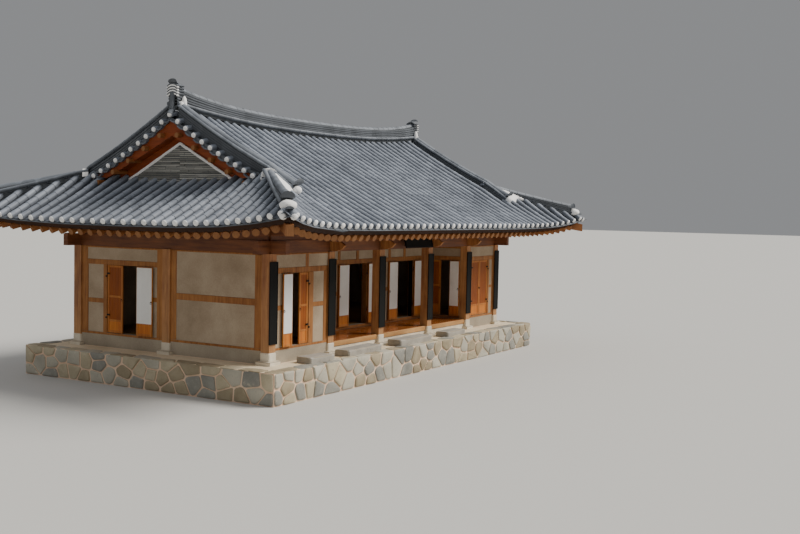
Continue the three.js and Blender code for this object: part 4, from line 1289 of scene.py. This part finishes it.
def rubble(bm, matrix, width, height, apart, stretch, out, rnd):
    """Stones over a strip that starts at the matrix; x runs along, y across and z out of it."""
    width = width / stretch
    seeds = scatter(rnd, width, height, apart)
    for p in seeds:
        one = bmesh.new()
        bmesh.ops.create_grid(one, x_segments=1, y_segments=1, size=0.6, matrix=Matrix.Translation((*p, 0)))
        cuts = [((p + q) / 2, q - p) for q in seeds if 0 < (q - p).length < 1.0]
        cuts += [(Vector((0, 0)), Vector((-1, 0))), (Vector((width, 0)), Vector((1, 0))),
                 (Vector((0, 0)), Vector((0, -1))), (Vector((0, height)), Vector((0, 1)))]
        for at, way in cuts:
            cut(one, (*at, 0), (*way, 0), True)
        middle = one.faces[:][0].calc_center_median()
        reach = sum((v.co - middle).length for v in one.verts) / len(one.verts)
        shrink(one, one.verts[:], middle, 1 - JOINT / reach)
        bmesh.ops.bevel(one, geom=one.verts[:], offset=reach * rnd.uniform(0.14, 0.24), offset_type="OFFSET",
                        segments=2, profile=0.5, affect="VERTICES", material=-1, clamp_overlap=True)
        bmesh.ops.translate(one, vec=(0, 0, -0.02), verts=one.verts)
        tilt = Vector((rnd.uniform(-0.04, 0.04), rnd.uniform(-0.04, 0.04), 0))
        face = one.faces[:]
        for factor, lift in ((1.0, out * 0.5 + 0.02), (0.93, out * 0.3), (0.8, out * 0.2)):
            grown = bmesh.ops.extrude_face_region(one, geom=face)["geom"]
            bmesh.ops.delete(one, geom=face, context="FACES_ONLY")
            face = [g for g in grown if isinstance(g, bmesh.types.BMFace)]
            verts = face[0].verts[:]
            shrink(one, verts, middle, factor)
            for v in verts:
                v.co.z += lift + tilt.dot(v.co - middle) * 0.5 + rnd.uniform(-0.0025, 0.0025)
        mat = rnd.randrange(len(stone_finishes))
        for f in one.faces:
            f.material_index = mat
        mesh = bpy.data.meshes.new("stone")
        one.to_mesh(mesh)
        one.free()
        stamp(bm, mesh, matrix @ Matrix.Diagonal((stretch, 1, 1, 1)))
        bpy.data.meshes.remove(mesh)
    return len(seeds)


# %% Faces and top edges of the podium
PODIUM_X, PODIUM_FRONT, PODIUM_BACK, PODIUM_TOP, CAP = 6.95, 3.99, 3.95, 0.74, 0.36
rnd = random.Random(11)
FACES = [
    ("front", -PODIUM_FRONT, -PODIUM_X, PODIUM_X, 0),
    ("back", PODIUM_BACK, -PODIUM_X, PODIUM_X, 0),
    ("left", -PODIUM_X, -PODIUM_BACK, PODIUM_FRONT, CAP),
    ("right", PODIUM_X, -PODIUM_FRONT, PODIUM_BACK, CAP),
]
for face, at, x0, x1, side in FACES:
    bm, wall = bmesh.new(), on_wall(face, at)
    upright = wall @ Matrix.Translation((x0, 0, 0)) @ LIE
    count = rubble(bm, upright, x1 - x0, PODIUM_TOP + 0.012, 0.27, 1.3, 0.034, rnd)
    level = wall @ Matrix.Translation((x0 + side, -0.026, PODIUM_TOP))
    count += rubble(bm, level, x1 - x0 - 2 * side, CAP, 0.30, 1.5, 0.016, rnd)
    piece("podium_stones_" + face, bm, stone_finishes, smooth=55)
    print(face, "stones", count)

# %% Dressed blocks and column plinths
bm = bmesh.new()
for x, y in [(x, y) for x in COLUMNS for y in (FRONT, BACK)] + [(COLUMNS[0], 0), (COLUMNS[-1], 0)]:
    beam(bm, (x - 0.213, x + 0.213), (y - 0.213, y + 0.213), (0.71, 0.8304), 0.018, 1)
    beam(bm, (x - 0.137, x + 0.137), (y - 0.137, y + 0.137), (0.82, 1.03), 0.02, 1)
STEPS = [
    (-2.9, -3.58, 1.6, 0.43, 0.90, 0.03),
    (-0.3, -3.58, 1.65, 0.43, 0.91, -0.02),
    (2.1, -3.57, 1.15, 0.40, 0.89, 0.03),
    (-4.8, -3.59, 0.95, 0.43, 0.89, -0.04),
]
for x, y, wide, deep, top, turn in STEPS:
    m = Matrix.Translation((x, y, 0)) @ Matrix.Rotation(turn, 4, "Z")
    w, d = wide / 2 + 0.006, deep / 2 + 0.006
    beam(bm, (-w, w), (-d, d), (0.72, top + 0.004), 0.03, 0, m)
piece("dressed_blocks", bm, [block_finish, plinth_finish])

# %% [markdown]
# ## The frame's own solids
# Solids whose shape is already right stay as they are and only take a finish.

# %% Finishes on the frame's nodes
def dress(names, finish):
    for name in names:
        slots = nodes[name].data.materials
        slots.clear()
        slots.append(finish)


dress(["podium", "podium_left", "podium_right"], podium_finish)
dress(["room_floor"], earth_finish)
dress(["timber_frame"], frame_finish)
dress(["left_wall", "porch_band", "left_return_wall", "back_wall", "right_wall"], plaster_finish)
